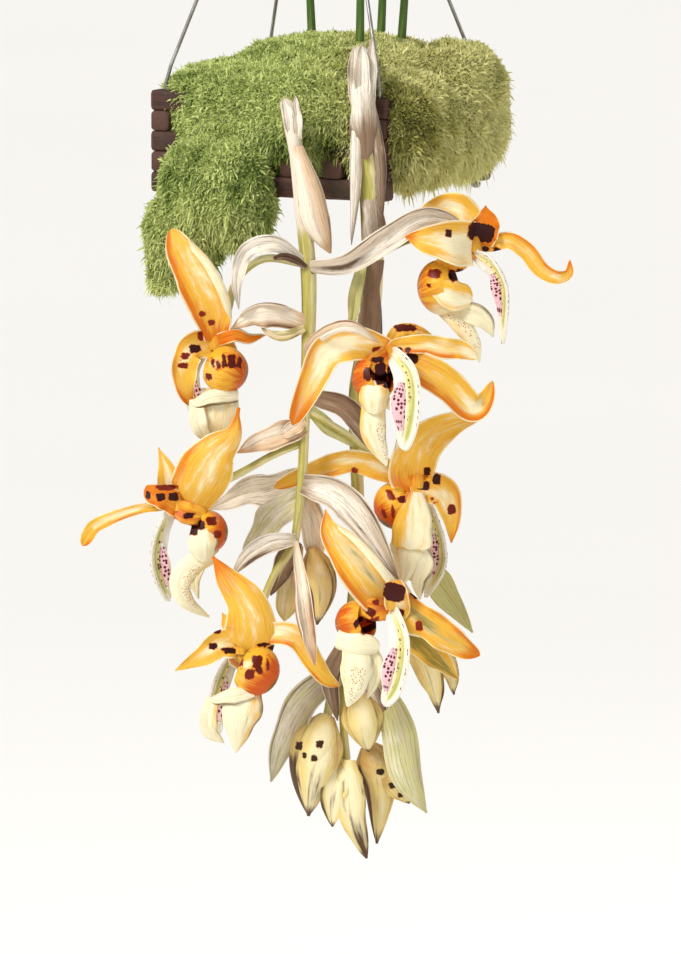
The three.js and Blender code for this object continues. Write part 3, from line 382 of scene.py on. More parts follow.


# Blooms: paths are right, up and back, base first; a bloom's tepals and column spring from its hub.
# Left and right of a margin are as one walks from a tepal's base to its tip.
# A sac's shade is the way its painted shade falls, deep how strong it is, inside the painted shade in its
# mouth.
# A tepal's sheen is a painted highlight, and its PALE patches add cream that is partly painted highlight.
# The olive of a lip part is painted olive shade.
REAR = dict(thick=1.8)
NECK = dict(neck=True, foot=0.9, blunt=0.3, thick=4)
BLOCK = dict(thick=5)
TONGUE = dict(cup=-0.55, thick=3)
HORN = dict(thick=2.6)
BLOOMS = [
    dict(
        name="bloom_1",
        hub=[-62, -80, -118],
        tepals=[
            dict(path=[[-61, -79, -121], [-64, -62, -126], [-72, -45, -127], [-80, -31, -124],
                       [-87, -16, -116]], half=13, widest=0.35, foot=0.55, blunt=0.5, cup=0.5, fold=(0, 2.5),
                 warm=(0.9, 0.1), tip=0.2, sheen=0.4),
            dict(path=[[-67, -82, -122], [-77, -87, -127], [-80, -101, -128], [-76, -118, -122]], half=9,
                 blunt=0.5, widest=0.4, ripple=1.7, waves=4, uneven=0.12, warm=(0.2, 0.5), tip=0.7,
                 sheen=0.6),
            dict(path=[[-58, -79, -121], [-50, -77, -124], [-42, -79, -122], [-33, -77, -118]], half=4.2,
                 widest=0.3, foot=0.7, thick=5, blunt=0.6, rich=0.8, sheen=0.1),
            dict(path=[[-58, -82, -112], [-56, -92, -104], [-56, -104, -100], [-59, -114, -98]], half=8,
                 **REAR),
            dict(path=[[-62, -78, -112], [-64, -66, -106], [-67, -54, -100]], half=5, **REAR),
        ],
        sac=dict(at=[-56, -97, -124], radius=13.5, tall=1, mouth=[-0.8, 0.3, 0.5], shade=[0.9, -0.25],
                 pale=0),
        lip=[
            dict(path=[[-49, -112, -126], [-62, -113, -131], [-76, -118, -128]], half=4.4, foot=0.8,
                 widest=0.5, blunt=0.5, gold=(0, 0), olive_shade=0.75, **BLOCK),
            dict(path=[[-59, -108, -125], [-60, -122, -128], [-61, -132, -126], [-62, -144, -119]],
                 half=12.5, foot=0.85, widest=0.5, blunt=0.35, gold=(0.5, 0.2), olive_shade=0, lemon=0.25,
                 **TONGUE),
            dict(path=[[-73, -114, -128], [-71, -128, -131], [-66, -139, -126]], half=5, foot=0.7, blunt=0.5,
                 gold=(0, 0), olive_shade=0.1, **HORN),
        ],
        column=dict(path=[[-70, -86, -110], [-77, -98, -108], [-76, -112, -108], [-72, -124, -108],
                          [-68, -134, -106]], half=6.5, face=[0.6, 0, -0.8]),
    ),
    dict(
        name="bloom_2",
        hub=[88, -24, -126],
        tepals=[
            dict(path=[[85, -24, -131], [74, -24, -142], [61, -23, -144], [48, -21, -138]], half=14,
                 foot=0.85, widest=0.35, blunt=0.8, cup=0.6, ripple=1.2, warm=(0.1, 0.3), tip=0.9, sheen=0.6,
                 patches=[(PALE, 0.3, -0.3, 0.3, 0.6, 0.9)]),
            dict(path=[[86, -16, -124], [80, -6, -119], [71, -3, -115], [58, -8, -112], [45, -15, -110]],
                 half=10, widest=0.38, foot=0.3, blunt=1.1, cup=0.4, ripple=1.8, waves=4, warm=(0.3, 0.1),
                 sheen=0.75),
            dict(path=[[90, -23, -128], [94, -14, -133], [94, -3, -133]], half=9.5, foot=0.85, widest=0.35,
                 blunt=1, cup=0.3, rich=0.9, sheen=0, ripple=1.4, waves=4),
            dict(path=[[97, -25, -128], [108, -23, -131], [118, -29, -130], [126, -39, -129],
                       [135, -44, -128], [142, -42, -126], [143, -34, -123]], half=5.2, foot=0.8, blunt=0.6,
                 cup=0.3, warm=(0.8, 0.15), tip=0.9, sheen=0.4),
            dict(path=[[90, -20, -118], [92, -14, -106], [91, -11, -94]], half=8, **REAR),
        ],
        sac=dict(at=[69, -50, -124], radius=14, tall=1.15, mouth=[0.9, 0.25, -0.2], shade=[-0.9, 0.1],
                 pale=0.6, deep=0.4),
        lip=[
            dict(path=[[85, -28, -128], [77, -35, -128], [66, -36.5, -126]], half=6, **NECK),
            dict(path=[[66, -50, -134], [74, -54, -136], [86, -57, -131]], half=9, foot=0.6, widest=0.6,
                 blunt=0.4, gold=(0.85, 0.45), olive_shade=0.1, **BLOCK),
            dict(path=[[73, -62, -128], [84, -64, -131], [93, -68, -130], [99, -78, -126]], half=6.5,
                 widest=0.5, blunt=0.9, gold=(0, 0), olive_shade=0.6, **HORN),
            dict(path=[[69, -62, -126], [79, -71, -131], [87, -80, -130], [91, -92, -124]], half=5, foot=0.7,
                 gold=(0.2, 0.6), dotted=(0.1, 0.85, -0.7, 0.2), **TONGUE),
        ],
        column=dict(path=[[90, -31, -128], [98, -37, -132], [104, -46, -133], [106, -58, -132],
                          [104.5, -82, -128]], half=7, face=[-0.85, 0, -0.5]),
    ),
    dict(
        name="bloom_3",
        hub=[40, -87, -158],
        tepals=[
            dict(path=[[33, -85, -160], [18, -82, -162], [4, -87, -162], [-5, -102, -160],
                       [-17, -129, -150]], half=10.6, widest=0.5, foot=0.5, blunt=0.4, cup=0.5,
                 warm=(0.25, 0.45), tip=0.9, sheen=0.5, patches=[(PALE, 0.62, -0.1, 0.24, 0.5, 0.9)]),
            dict(path=[[40, -83, -158], [44, -76, -158], [54, -75, -156], [65, -79, -152]], half=4.8,
                 foot=0.7, cup=0.3, ripple=1.5, waves=5, warm=(0.1, 0.1), sheen=0.3),
            dict(path=[[43, -84, -161], [57, -83, -164], [70, -85, -163], [80, -86, -161], [89, -91, -158]],
                 half=6.4, foot=0.5, widest=0.65, blunt=0.45, cup=0.5, ripple=1.2, waves=4, warm=(0, 0.75),
                 tip=-0.3, patches=[(PALE, 0.95, -0.1, 0.16, 1, 1)]),
            dict(path=[[46, -91, -160], [60, -98, -164], [74, -107, -162], [86, -119, -158],
                       [93, -116, -155], [98, -104, -152]], half=10, widest=0.42, blunt=0.6, cup=0.5,
                 ripple=1.1, warm=(0.1, 0.9), sheen=0.3,
                 patches=[(WARM, 0.2, 0, 0.2, 1, 0.3), (PALE, 0.72, -0.2, 0.12, 0.5, 0.7)]),
            dict(path=[[38, -86, -148], [34, -96, -140], [32, -108, -137], [32, -118, -135]], half=8,
                 **REAR),
        ],
        sac=dict(at=[30, -102, -160], radius=13, tall=1.05, mouth=[0.7, 0.35, -0.65], shade=[-1, 0.1],
                 pale=0.3, inside=0),
        lip=[
            dict(path=[[38, -90, -160], [33, -94, -164], [28, -98, -166]], half=7, **NECK),
            dict(path=[[30, -105, -168], [30, -113, -172], [30, -122, -170]], half=8.2, foot=0.8, widest=0.5,
                 blunt=0.3, cup=-0.5, thick=7, gold=(0.45, 0.6), olive_shade=0.3),
            dict(path=[[30, -117, -168], [29, -130, -171], [32, -141, -169], [37, -152, -164]], half=7.5,
                 foot=0.9, widest=0.3, blunt=0.7, gold=(0.25, 0.6), olive_shade=0.4,
                 dotted=(0.25, 0.95, -1, -0.25), **TONGUE),
            dict(path=[[31, -114, -169], [43, -120, -166], [46, -132, -163], [42, -144, -160]], half=3.5,
                 foot=0.8, gold=(0.4, 0.4), **HORN),
        ],
        column=dict(path=[[43, -91, -166], [49, -100, -175], [51, -112, -179], [50, -127, -179],
                          [47, -144, -174]], half=10, foot=0.35, face=[-0.5, 0, -0.85]),
    ),
    dict(
        name="bloom_4",
        hub=[56, -160, -120],
        tepals=[
            dict(path=[[52, -157, -123], [55, -145, -129], [63, -135, -130], [77, -128, -126],
                       [93, -124, -118]], half=14, foot=0.95, widest=0.25, blunt=0.75, ripple=1.1,
                 warm=(0.05, 0.1), sheen=0.25, patches=[(WARM, 0.15, -0.3, 0.15, 0.8, 0.4)]),
            dict(path=[[46, -158, -121], [33, -154, -122], [19, -150, -120], [7, -151, -116],
                       [-8, -157, -109], [-28, -165, -102]], half=7.4, foot=0.8, widest=0.5, blunt=0.35,
                 ripple=1.3, uneven=0.09, warm=(0.45, 0), sheen=0.6),
            dict(path=[[60, -164, -124], [70, -168, -127], [75, -180, -127], [75, -197, -122]], half=9.8,
                 foot=0.6, widest=0.4, blunt=0.8, ripple=1.2, warm=(0.4, 0.1), tip=0.6),
            dict(path=[[57, -158, -114], [62, -154, -106], [66, -150, -98]], half=6, **REAR),
            dict(path=[[50, -164, -112], [46, -174, -104], [45, -186, -100]], half=7, **REAR),
        ],
        sac=dict(at=[42, -176, -120], radius=12, tall=1.15, mouth=[0.9, 0.3, 0.2], shade=[-0.5, -0.8],
                 pale=0, deep=0.9),
        lip=[
            dict(path=[[54, -164, -118], [49, -167, -120], [45, -171, -120]], half=4.6, **NECK),
            dict(path=[[54, -168, -127], [53, -184, -131], [51, -201, -130]], half=12, foot=0.4, widest=0.85,
                 blunt=0.3, gold=(0.35, 0.9), olive_shade=0.15, **BLOCK),
            dict(path=[[51, -197, -128], [50, -206, -130], [46, -223, -126]], half=12, foot=0.9, widest=0.15,
                 blunt=1.1, gold=(0.3, 0.3), olive_shade=0.1, lemon=0.15, **TONGUE),
            dict(path=[[53, -197, -129], [60, -208, -128], [56, -220, -126], [57, -230, -122]], half=5,
                 foot=0.6, gold=(0, 0.2), olive_shade=0.6, **HORN),
        ],
        column=dict(path=[[60, -171, -118], [66, -186, -116], [69.5, -199, -115], [69, -212, -115],
                          [60, -229, -114]], half=6.5, face=[-0.7, 0, -0.7]),
    ),
    dict(
        name="bloom_5",
        hub=[-84, -173, -122],
        tepals=[
            dict(path=[[-78, -173, -126], [-72, -164, -136], [-66, -153, -142], [-60, -144, -142],
                       [-51, -134, -139], [-48, -119, -136]], half=17, widest=0.42, foot=0.6, blunt=1.3,
                 cup=-0.6, warm=(0.3, 0.05), sheen=0.45, tip=0.9, uneven=0.02,
                 patches=[(WARM, 0.4, -0.85, 0.3, 0.14, 0.4)]),
            dict(path=[[-87, -170, -121], [-89, -158, -120], [-95, -142, -114]], half=9, foot=0.9,
                 widest=0.35, blunt=1, cup=0.3, warm=(0, 0), tip=0, sheen=1, ripple=1),
            dict(path=[[-92, -176, -124], [-104, -177, -127], [-118, -181, -127], [-129, -186, -125],
                       [-134, -190, -124], [-139, -199, -120]], half=4.2, foot=0.4, widest=0.87, blunt=0.5,
                 cup=0.3, warm=(0.5, 0), sheen=0.8, tip=0.5),
            dict(path=[[-85, -174, -126.5], [-94, -170, -130], [-103, -167, -126]], half=7.5, foot=0.9,
                 widest=0.4, blunt=0.3, cup=0.3, ripple=1.3, waves=4, rich=0.7, sheen=0),
            dict(path=[[-81, -176, -112], [-74, -182, -104], [-68, -192, -100]], half=8, **REAR),
        ],
        sac=dict(at=[-67, -191, -122], radius=12.5, tall=1.02, mouth=[-0.9, 0.3, -0.2], shade=[0.9, -0.1],
                 pale=0.9, deep=0.8),
        lip=[
            dict(path=[[-84, -177, -124], [-77, -180, -127], [-67, -181, -125]], half=6.5, **NECK),
            dict(path=[[-69, -189, -132], [-69, -198, -134], [-69, -207, -130]], half=8.5, foot=0.7,
                 blunt=0.3, cup=-0.5, gold=(0.3, 0), olive_shade=0.5, **BLOCK),
            dict(path=[[-63, -205, -127], [-75, -210, -130], [-82, -220, -131], [-78, -232, -128],
                       [-66, -240, -122]], half=6.8, foot=0.6, widest=0.35, gold=(0.3, 0), olive_shade=0.3,
                 dotted=(0.15, 0.9, -1, -0.1), **TONGUE),
            dict(path=[[-62, -200, -122], [-70, -208, -116], [-74, -220, -113], [-72, -230, -112]], half=3.5,
                 foot=0.8, **HORN),
        ],
        column=dict(path=[[-90, -182, -122], [-95, -194, -124], [-96.5, -207, -125], [-94, -219, -124],
                          [-89, -231, -121]], half=7, face=[0.7, 0, -0.7]),
    ),
    dict(
        name="bloom_6",
        hub=[-46, -256, -142],
        tepals=[
            dict(path=[[-43, -259, -146], [-41, -246, -153], [-45, -231, -153], [-55, -217, -149],
                       [-63, -205, -142]], half=16, widest=0.26, foot=0.6, blunt=0.9, cup=-0.6,
                 warm=(0.2, 0.05), sheen=0.3, tip=0.8, patches=[(WARM, 0.85, 0, 0.2, 1.2, 0.4)]),
            dict(path=[[-50, -255, -144], [-60, -256, -147], [-70, -263, -146], [-85, -271, -140]], half=9,
                 foot=0.8, widest=0.35, ripple=1.4, warm=(0.2, 0.3), sheen=0.7, tip=0),
            dict(path=[[-40, -252, -144], [-26, -249, -149], [-14, -252, -150], [-5, -265, -149],
                       [3, -276, -146], [10, -280, -142]], half=7.2, foot=0.5, widest=0.4, blunt=0.6,
                 ripple=1, warm=(0.05, 0.6), sheen=0.3, patches=[(PALE, 0.27, -0.3, 0.14, 0.5, 1)]),
            dict(path=[[-48, -254, -134], [-54, -246, -126], [-58, -238, -120]], half=5, **REAR),
            dict(path=[[-42, -260, -134], [-38, -270, -127], [-36, -280, -124]], half=8, **REAR),
        ],
        sac=dict(at=[-38, -271, -144], radius=13.5, tall=1.1, mouth=[-0.85, 0.4, 0.3], shade=[0.6, -0.5],
                 pale=0.1, deep=1),
        lip=[
            dict(path=[[-40, -283, -148], [-52, -286, -151], [-66, -289, -146]], half=4.5, foot=0.9,
                 widest=0.4, blunt=0.6, gold=(0, 0), olive_shade=0.6, **BLOCK),
            dict(path=[[-44, -282, -146], [-46, -293, -151], [-48, -304, -149], [-50, -318, -142]], half=12,
                 foot=0.8, widest=0.3, blunt=0.8, gold=(0.6, 0.1), olive_shade=0.5, **TONGUE),
            dict(path=[[-63, -287, -147], [-66, -298, -149], [-64, -307, -147], [-57, -313, -143]], half=5,
                 foot=0.7, gold=(0.4, 0.2), **HORN),
        ],
        column=dict(path=[[-51, -261, -136], [-57, -272, -133], [-61, -284, -132], [-63, -297, -132],
                          [-60, -309, -131]], half=6.5, face=[0.5, 0, -0.8]),
    ),
    dict(
        name="bloom_7",
        hub=[40, -233, -150],
        # The DARK patches here are painted shade: a shadow line beside the fold, a shaded middle and a lower
        # sepal in shade.
        tepals=[
            dict(path=[[35, -229, -153], [24, -215, -159], [13, -201, -158], [5, -190, -154],
                       [2, -178, -148]], half=13, widest=0.36, foot=0.5, blunt=0.95, cup=0.5, fold=(0, 2.3),
                 warm=(0.7, 0), tip=0.5, sheen=0.55,
                 patches=[(DARK, 0.45, 0.15, 0.3, 0.22, 0.4), (WARM, 0.15, -0.4, 0.15, 0.4, 0.3)]),
            dict(path=[[47, -234, -153], [60, -243, -157], [74, -253, -156], [91, -262, -149]], half=10.5,
                 widest=0.45, foot=0.6, blunt=0.5, cup=0.5, ripple=1.8, uneven=0.13, waves=4,
                 warm=(0.6, 0.2), tip=0.9, sheen=0.5, patches=[(DARK, 0.5, 0, 0.35, 0.4, 0.6)]),
            dict(path=[[44, -235, -157], [42.5, -227, -163], [41.2, -218.2, -163]], half=7.2, foot=0.95,
                 widest=0.5, blunt=0.2, cup=0.3),
            dict(path=[[46, -238, -148], [56, -252, -146], [67, -264, -142], [79, -276, -136]], half=9.8,
                 widest=0.45, foot=0.5, ripple=2, waves=4, warm=(0, 0), sheen=0.3,
                 patches=[(DARK, 0.6, 0.2, 0.5, 0.7, 0.8)]),
            dict(path=[[36, -230, -142], [31, -224, -134], [27, -219, -128]], half=5, **REAR),
        ],
        sac=dict(at=[20, -243, -148], radius=12.5, tall=1, mouth=[0.85, 0.25, -0.45], shade=[-0.9, -0.1],
                 pale=0.7, inside=0),
        lip=[
            dict(path=[[37, -236, -153], [29, -235, -155], [20, -233, -151]], half=6.5, **NECK),
            dict(path=[[9, -252, -154], [20, -255, -159], [33, -257, -156]], half=7, foot=0.8, widest=0.5,
                 blunt=0.4, cup=-0.5, gold=(0, 0.1), olive_shade=0.2, **BLOCK),
            dict(path=[[20, -256, -156], [20, -268, -160], [19, -279, -158], [15, -291, -152]], half=9.5,
                 foot=0.8, widest=0.35, blunt=0.7, gold=(0, 0.3), olive_shade=0.3, dotted=(0.3, 0.97, -0.5, 0.4),
                 **TONGUE),
            dict(path=[[28, -257, -154], [32, -267, -155], [30, -278, -153], [26, -287, -150]], half=3.6,
                 foot=0.8, **HORN),
        ],
        column=dict(path=[[42, -239, -158], [45.5, -252, -166], [45, -266, -168], [42, -279, -166],
                          [36, -291, -161]], half=8.5, face=[-0.5, 0, -0.85]),
    ),
]

# Flower spikes: stalks, papery bracts and small closed buds. A bract that wraps is a sheath round the stalk.
SPIKE_1 = dict(
    papery=0.49,
    stalk=dict(path=[[-21, 58, -46], [-20, 58, -74], [-18, 46, -96], [-15, 27, -106], [-12, 0, -111],
                     [-8, -40, -118], [-8, -80, -124], [-10, -125, -127], [-12, -165, -128],
                     [-16, -198, -128]], radii=[4.6, 5, 4.6, 4, 4.4, 4.6, 4, 3, 2.8, 2.4]),
    stalklets=[
        [[-9, -36, -118], [-33, -33, -122], [-49, -45, -121], [-55, -64, -118], [-61, -77, -116]],
        [[-8, -40, -120], [22, -36, -128], [52, -22, -130], [82, -21, -127]],
        [[-8, -86, -124], [6, -80, -136], [22, -80, -150], [36, -86, -156]],
        [[-9, -121, -126], [14, -134, -120], [36, -150, -118], [53, -160, -118]],
        [[-11, -139, -126], [-28, -146, -124], [-50, -158, -118], [-80, -172, -119]],
        [[-15, -196, -128], [-28, -216, -130], [-37, -238, -131], [-44, -253, -138]],
        [[-12, -162, -128], [12, -172, -134], [28, -198, -140], [38, -230, -146]],
    ],
    bracts=[
        dict(path=[[-14, 32, -110.5], [-10, 15, -117], [-6, -1, -122], [-3, -14, -124], [5, -30, -122]],
             half=10.8, cup=-1, foot=0.34, widest=0.68, blunt=0.8, rosy=True, dull_and_shaded=0, dry_base=0, ripple=0.9,
             patches=[(WARM, 0.7, 0.1, 0.35, 0.5, 0.5), (PALE, 0.35, 0.75, 0.4, 0.3, 0.9)]),
        dict(path=[[-8, -37, -118], [-26, -25, -127], [-43, -29, -128], [-49, -44, -127], [-48, -62, -124]],
             half=5.4, foot=0.5, dull_and_shaded=-0.25, dry_base=0, ripple=1.8, waves=3, uneven=0.1, white=0.8),
        # A narrow dark bract as painted shade: a dark strip where shade falls beside the stalk.
        dict(path=[[-9, -38, -123], [-16, -33.5, -126], [-22, -32, -126.5], [-28, -33, -125]], half=2.6,
             blunt=0.4, dull_and_shaded=1, patches=[(DARK, 0.5, 0.4, 1, 0.8, 1)]),
        dict(path=[[-17.5, 38, -104], [-19.5, 50, -102], [-22.5, 61, -94]], half=3.4, foot=0.6, dull_and_shaded=-0.1,
             dry_base=0, white=0.3),
        dict(path=[[-13.5, 36, -105], [-14.5, 49, -103], [-15.5, 62, -94]], half=3, foot=0.6, dull_and_shaded=0,
             dry_base=0, white=0.3),
        dict(path=[[-10, -73, -128], [-19, -77, -130], [-28, -77, -130], [-35, -73, -127]], half=3.2,
             rosy=True, green=0.5, dull_and_shaded=-0.3, dry_base=0, ripple=1.6, white=0.3,
             patches=[(DARK, 0.4, -0.8, 0.4, 0.3, 0.9)]),
        dict(path=[[-9, -71, -126], [-26, -66, -130], [-40, -67, -130], [-52, -73, -126]], half=7.8,
             cup=-0.6, dull_and_shaded=0, dry_base=0, rosy=True, ripple=2, waves=3, fold=(0, 2.4), fold_from=0.5,
             patches=[(PALE, 0.5, -0.1, 0.4, 0.4, 0.9), (DARK, 0.25, -0.75, 0.25, 0.2, 0.7)]),
        dict(path=[[-7, -38, -123], [14, -37, -132], [36, -23, -137], [56, -11, -136], [72, -11, -132],
                   [86, -19, -128]], half=7.6, cup=-0.7, foot=0.5, dull_and_shaded=0.1, dry_base=0, green=0.1,
             ripple=1.6, fold=(0, 2.2), white=0.15, patches=[(DARK, 0.17, 0.1, 0.13, 0.3, 1),
                                                             (WARM, 0.45, -0.3, 0.3, 0.3, 0.4),
                                                             (PALE, 0.6, 0.6, 0.4, 0.3, 0.9)]),
        dict(path=[[-8, -89, -125], [-6, -83, -152], [4, -76, -174], [18, -73.5, -178], [33, -82.5, -171]],
             half=4, blunt=0.5, cup=-0.5, dull_and_shaded=0, rosy=True, dry_base=0.2, white=0.2, ripple=1.2, uneven=0.1,
             patches=[(DARK, 0.6, -0.9, 0.4, 0.2, 0.4)]),
        dict(path=[[-8, -112, -129], [12, -118, -131], [26, -134, -130], [36, -152, -126]], half=7,
             dull_and_shaded=0.95),
        dict(path=[[-9, -118, -128], [4, -130, -122], [20, -142, -118]], half=4.5, green=0.9, dull_and_shaded=0.2),
        dict(path=[[-10, -129, -129], [-22, -134, -131], [-35, -138, -130], [-49, -145, -126]], half=8,
             rosy=True, dull_and_shaded=0.1, dry_base=0.2, uneven=0.1),
        dict(path=[[-10, -126, -131], [-16, -130, -134], [-23, -135, -132]], half=4.5, blunt=0.4, rosy=True,
             dull_and_shaded=-0.3, dry_base=0),
        dict(path=[[-15, -195, -131], [-30, -197, -135], [-43, -205, -134], [-52, -216, -130]], half=6,
             dull_and_shaded=0, dry_base=0.2, white=0.3, patches=[(DARK, 0.65, -0.6, 0.25, 0.3, 0.7)]),
        dict(path=[[-15, -196, -126], [-22, -210, -120], [-30, -228, -116]], half=7, dull_and_shaded=0.9),
        dict(path=[[-11, -163, -131], [8, -169, -140], [26, -188, -148], [44, -218, -150]], half=10,
             widest=0.45, dull_and_shaded=0.1, ripple=1.3, waves=3,
             patches=[(PALE, 0.4, -0.2, 0.3, 0.5, 0.9), (DARK, 0.75, 0.4, 0.3, 0.12, 0.5)]),
        dict(path=[[-11, -158, -104], [-28, -165, -92], [-46, -169, -90], [-66, -178, -90]], half=10,
             dull_and_shaded=-0.3, dry_base=0, ripple=2, waves=3, uneven=0.14, white=0.6),
        dict(path=[[-11, -168, -122], [-26, -180, -112], [-36, -192, -107], [-47, -209, -102]], half=9.5,
             green=0.45, dull_and_shaded=-0.3, dry_base=0, ripple=1.8, uneven=0.12, white=0.6),
        dict(path=[[-11, -168, -125], [-5, -188, -120], [-3, -214, -116]], half=8.5, dull_and_shaded=-0.1, dry_base=1.2,
             rosy=True, white=0.2),
        dict(path=[[-15, -196, -131], [-12, -220, -147], [-9, -242, -156], [-4, -268, -156]], half=5.4,
             foot=0.2, widest=0.62, dull_and_shaded=0.3, dry_base=-0.6, fold=(0, 2.2), rosy=True,
             patches=[(PALE, 0.25, 0, 0.25, 1, 1), (DARK, 0.8, 0.4, 0.3, 0.3, 0.5)]),
        dict(path=[[-15, -198, -126], [-19, -222, -114], [-22, -243, -110]], half=7.5, widest=0.7, rosy=True,
             green=0.5, dull_and_shaded=0.1),
    ],
    buds=[
        dict(path=[[-6, -200, -122], [-3, -212, -118], [0, -226, -116], [-3, -245, -114]], half=9.5,
             foot=0.2, tan=0.45, edges=(0.4, 0.8)),
    ],
)
SPIKE_2 = dict(
    papery=0.24,
    stalk=dict(path=[[21, 76, -30], [22, 86, -56], [22.5, 82, -82], [23, 66, -101], [24, 48, -110],
                     [26, 24, -114], [28, 0, -114], [29, -40, -110], [26, -80, -105], [20, -110, -103],
                     [20, -150, -101], [21, -190, -100], [17, -235, -102], [12, -284, -104]],
               radii=[5, 6, 6.4, 6.4, 6.4, 6.4, 6.4, 6, 5, 4, 3.5, 3, 2.6]),
    stalklets=[
        [[14, -268, -104], [6, -283, -108], [3, -298, -112]],
        [[12, -280, -104], [12, -300, -108], [14, -324, -112]],
        [[13, -276, -104], [22, -294, -102], [27, -316, -104]],
        [[15, -262, -104], [20, -274, -108], [22, -290, -114]],
        [[21, -196, -101], [40, -212, -102], [55, -236, -105]],
    ],
    bracts=[
        dict(path=[[23, 82, -103], [23.3, 66, -113], [24, 48, -119], [25.5, 24, -122]], face=[0, 0.4, -1],
             half=18, wrap=8.3, foot=0.95, widest=0.5, blunt=0.8, dull_and_shaded=-0.1, dry_base=0, ripple=0.4,
             patches=[(WARM, 1, 0, 0.35, 2, 1.3), (PALE, 1, 0, 0.4, 2, -1), (PALE, 0.2, 0, 0.35, 2, 0.6)]),
        dict(path=[[19, 56, -110], [18.2, 74, -109], [18.5, 90, -103]], half=3.8, foot=0.7, white=0.3,
             dull_and_shaded=-0.1, dry_base=0),
        dict(path=[[23.5, 56, -111.5], [23, 74, -112], [23, 91, -105]], half=5, foot=0.7, white=0.3,
             dull_and_shaded=-0.1, dry_base=0, ripple=1.4),
        dict(path=[[27.5, 54, -110], [27.8, 74, -109], [29, 95, -102]], half=4, foot=0.7, white=0.2, dull_and_shaded=0,
             dry_base=0),
        dict(path=[[19, 56, -109], [20, 32, -121.5], [19, 4, -123], [17, -25, -119]], half=4, cup=-0.8,
             foot=0.3, dull_and_shaded=0.2, dry_base=0, ripple=1.4, white=0.3),
        dict(path=[[29, 58, -107], [32, 34, -119], [34, 12, -121], [34, -20, -118]], half=4, cup=-0.8,
             foot=0.3, dull_and_shaded=0.8, dry_base=0, ripple=1.4),
        dict(path=[[29, -34, -117], [29, -48, -118], [28, -64, -117], [27, -88, -111]], half=18, wrap=7.4,
             foot=0.8, widest=0.4, blunt=0.4, dull_and_shaded=1, ripple=0.4),
        dict(path=[[24, -32, -119], [20, -50, -122], [18, -64, -120], [16, -78, -116]], half=4, green=1,
             dull_and_shaded=0),
        dict(path=[[13, -269, -104], [-11, -290, -116], [-22, -312, -118], [-30, -337, -114]], half=10,
             foot=0.6, dull_and_shaded=-0.05, dry_base=0.2, green=0.35, white=0.15, ripple=1.6, uneven=0.08,
             patches=[(DARK, 0.5, 0.8, 0.4, 0.12, 0.5)]),
        dict(path=[[16, -274, -104], [34, -285, -116], [43, -304, -128], [48, -328, -130], [54, -344, -126],
                   [61, -355, -120]], half=11, foot=0.2, widest=0.5, blunt=0.9, dull_and_shaded=-0.1, dry_base=0.2,
             green=0.6, white=0.1, cup=-0.6, ripple=1.3,
             patches=[(DARK, 0.6, -0.8, 0.4, 0.12, 0.4), (DARK, 0.6, 0.2, 0.4, 0.08, 0.4)]),
        dict(path=[[15, -252, -103], [5, -276, -119], [9, -301, -120]], half=6, dull_and_shaded=0.9),
        dict(path=[[15, -262, -104], [29, -282, -118], [34, -294, -122], [39, -310, -120]], half=4.5,
             dull_and_shaded=0.5),
        dict(path=[[40, -210, -101], [62, -216, -98], [74, -230, -97], [88, -250, -96]], half=9, foot=0.3,
             green=0.9, dull_and_shaded=0.2),
        dict(path=[[28, 10, -117], [29, -4, -122], [30, -16, -121], [31, -32, -117]], half=17, wrap=7.4,
             foot=0.7, widest=0.35, blunt=0.5, dull_and_shaded=0.6, ripple=0.4),
    ],
    buds=[],
)
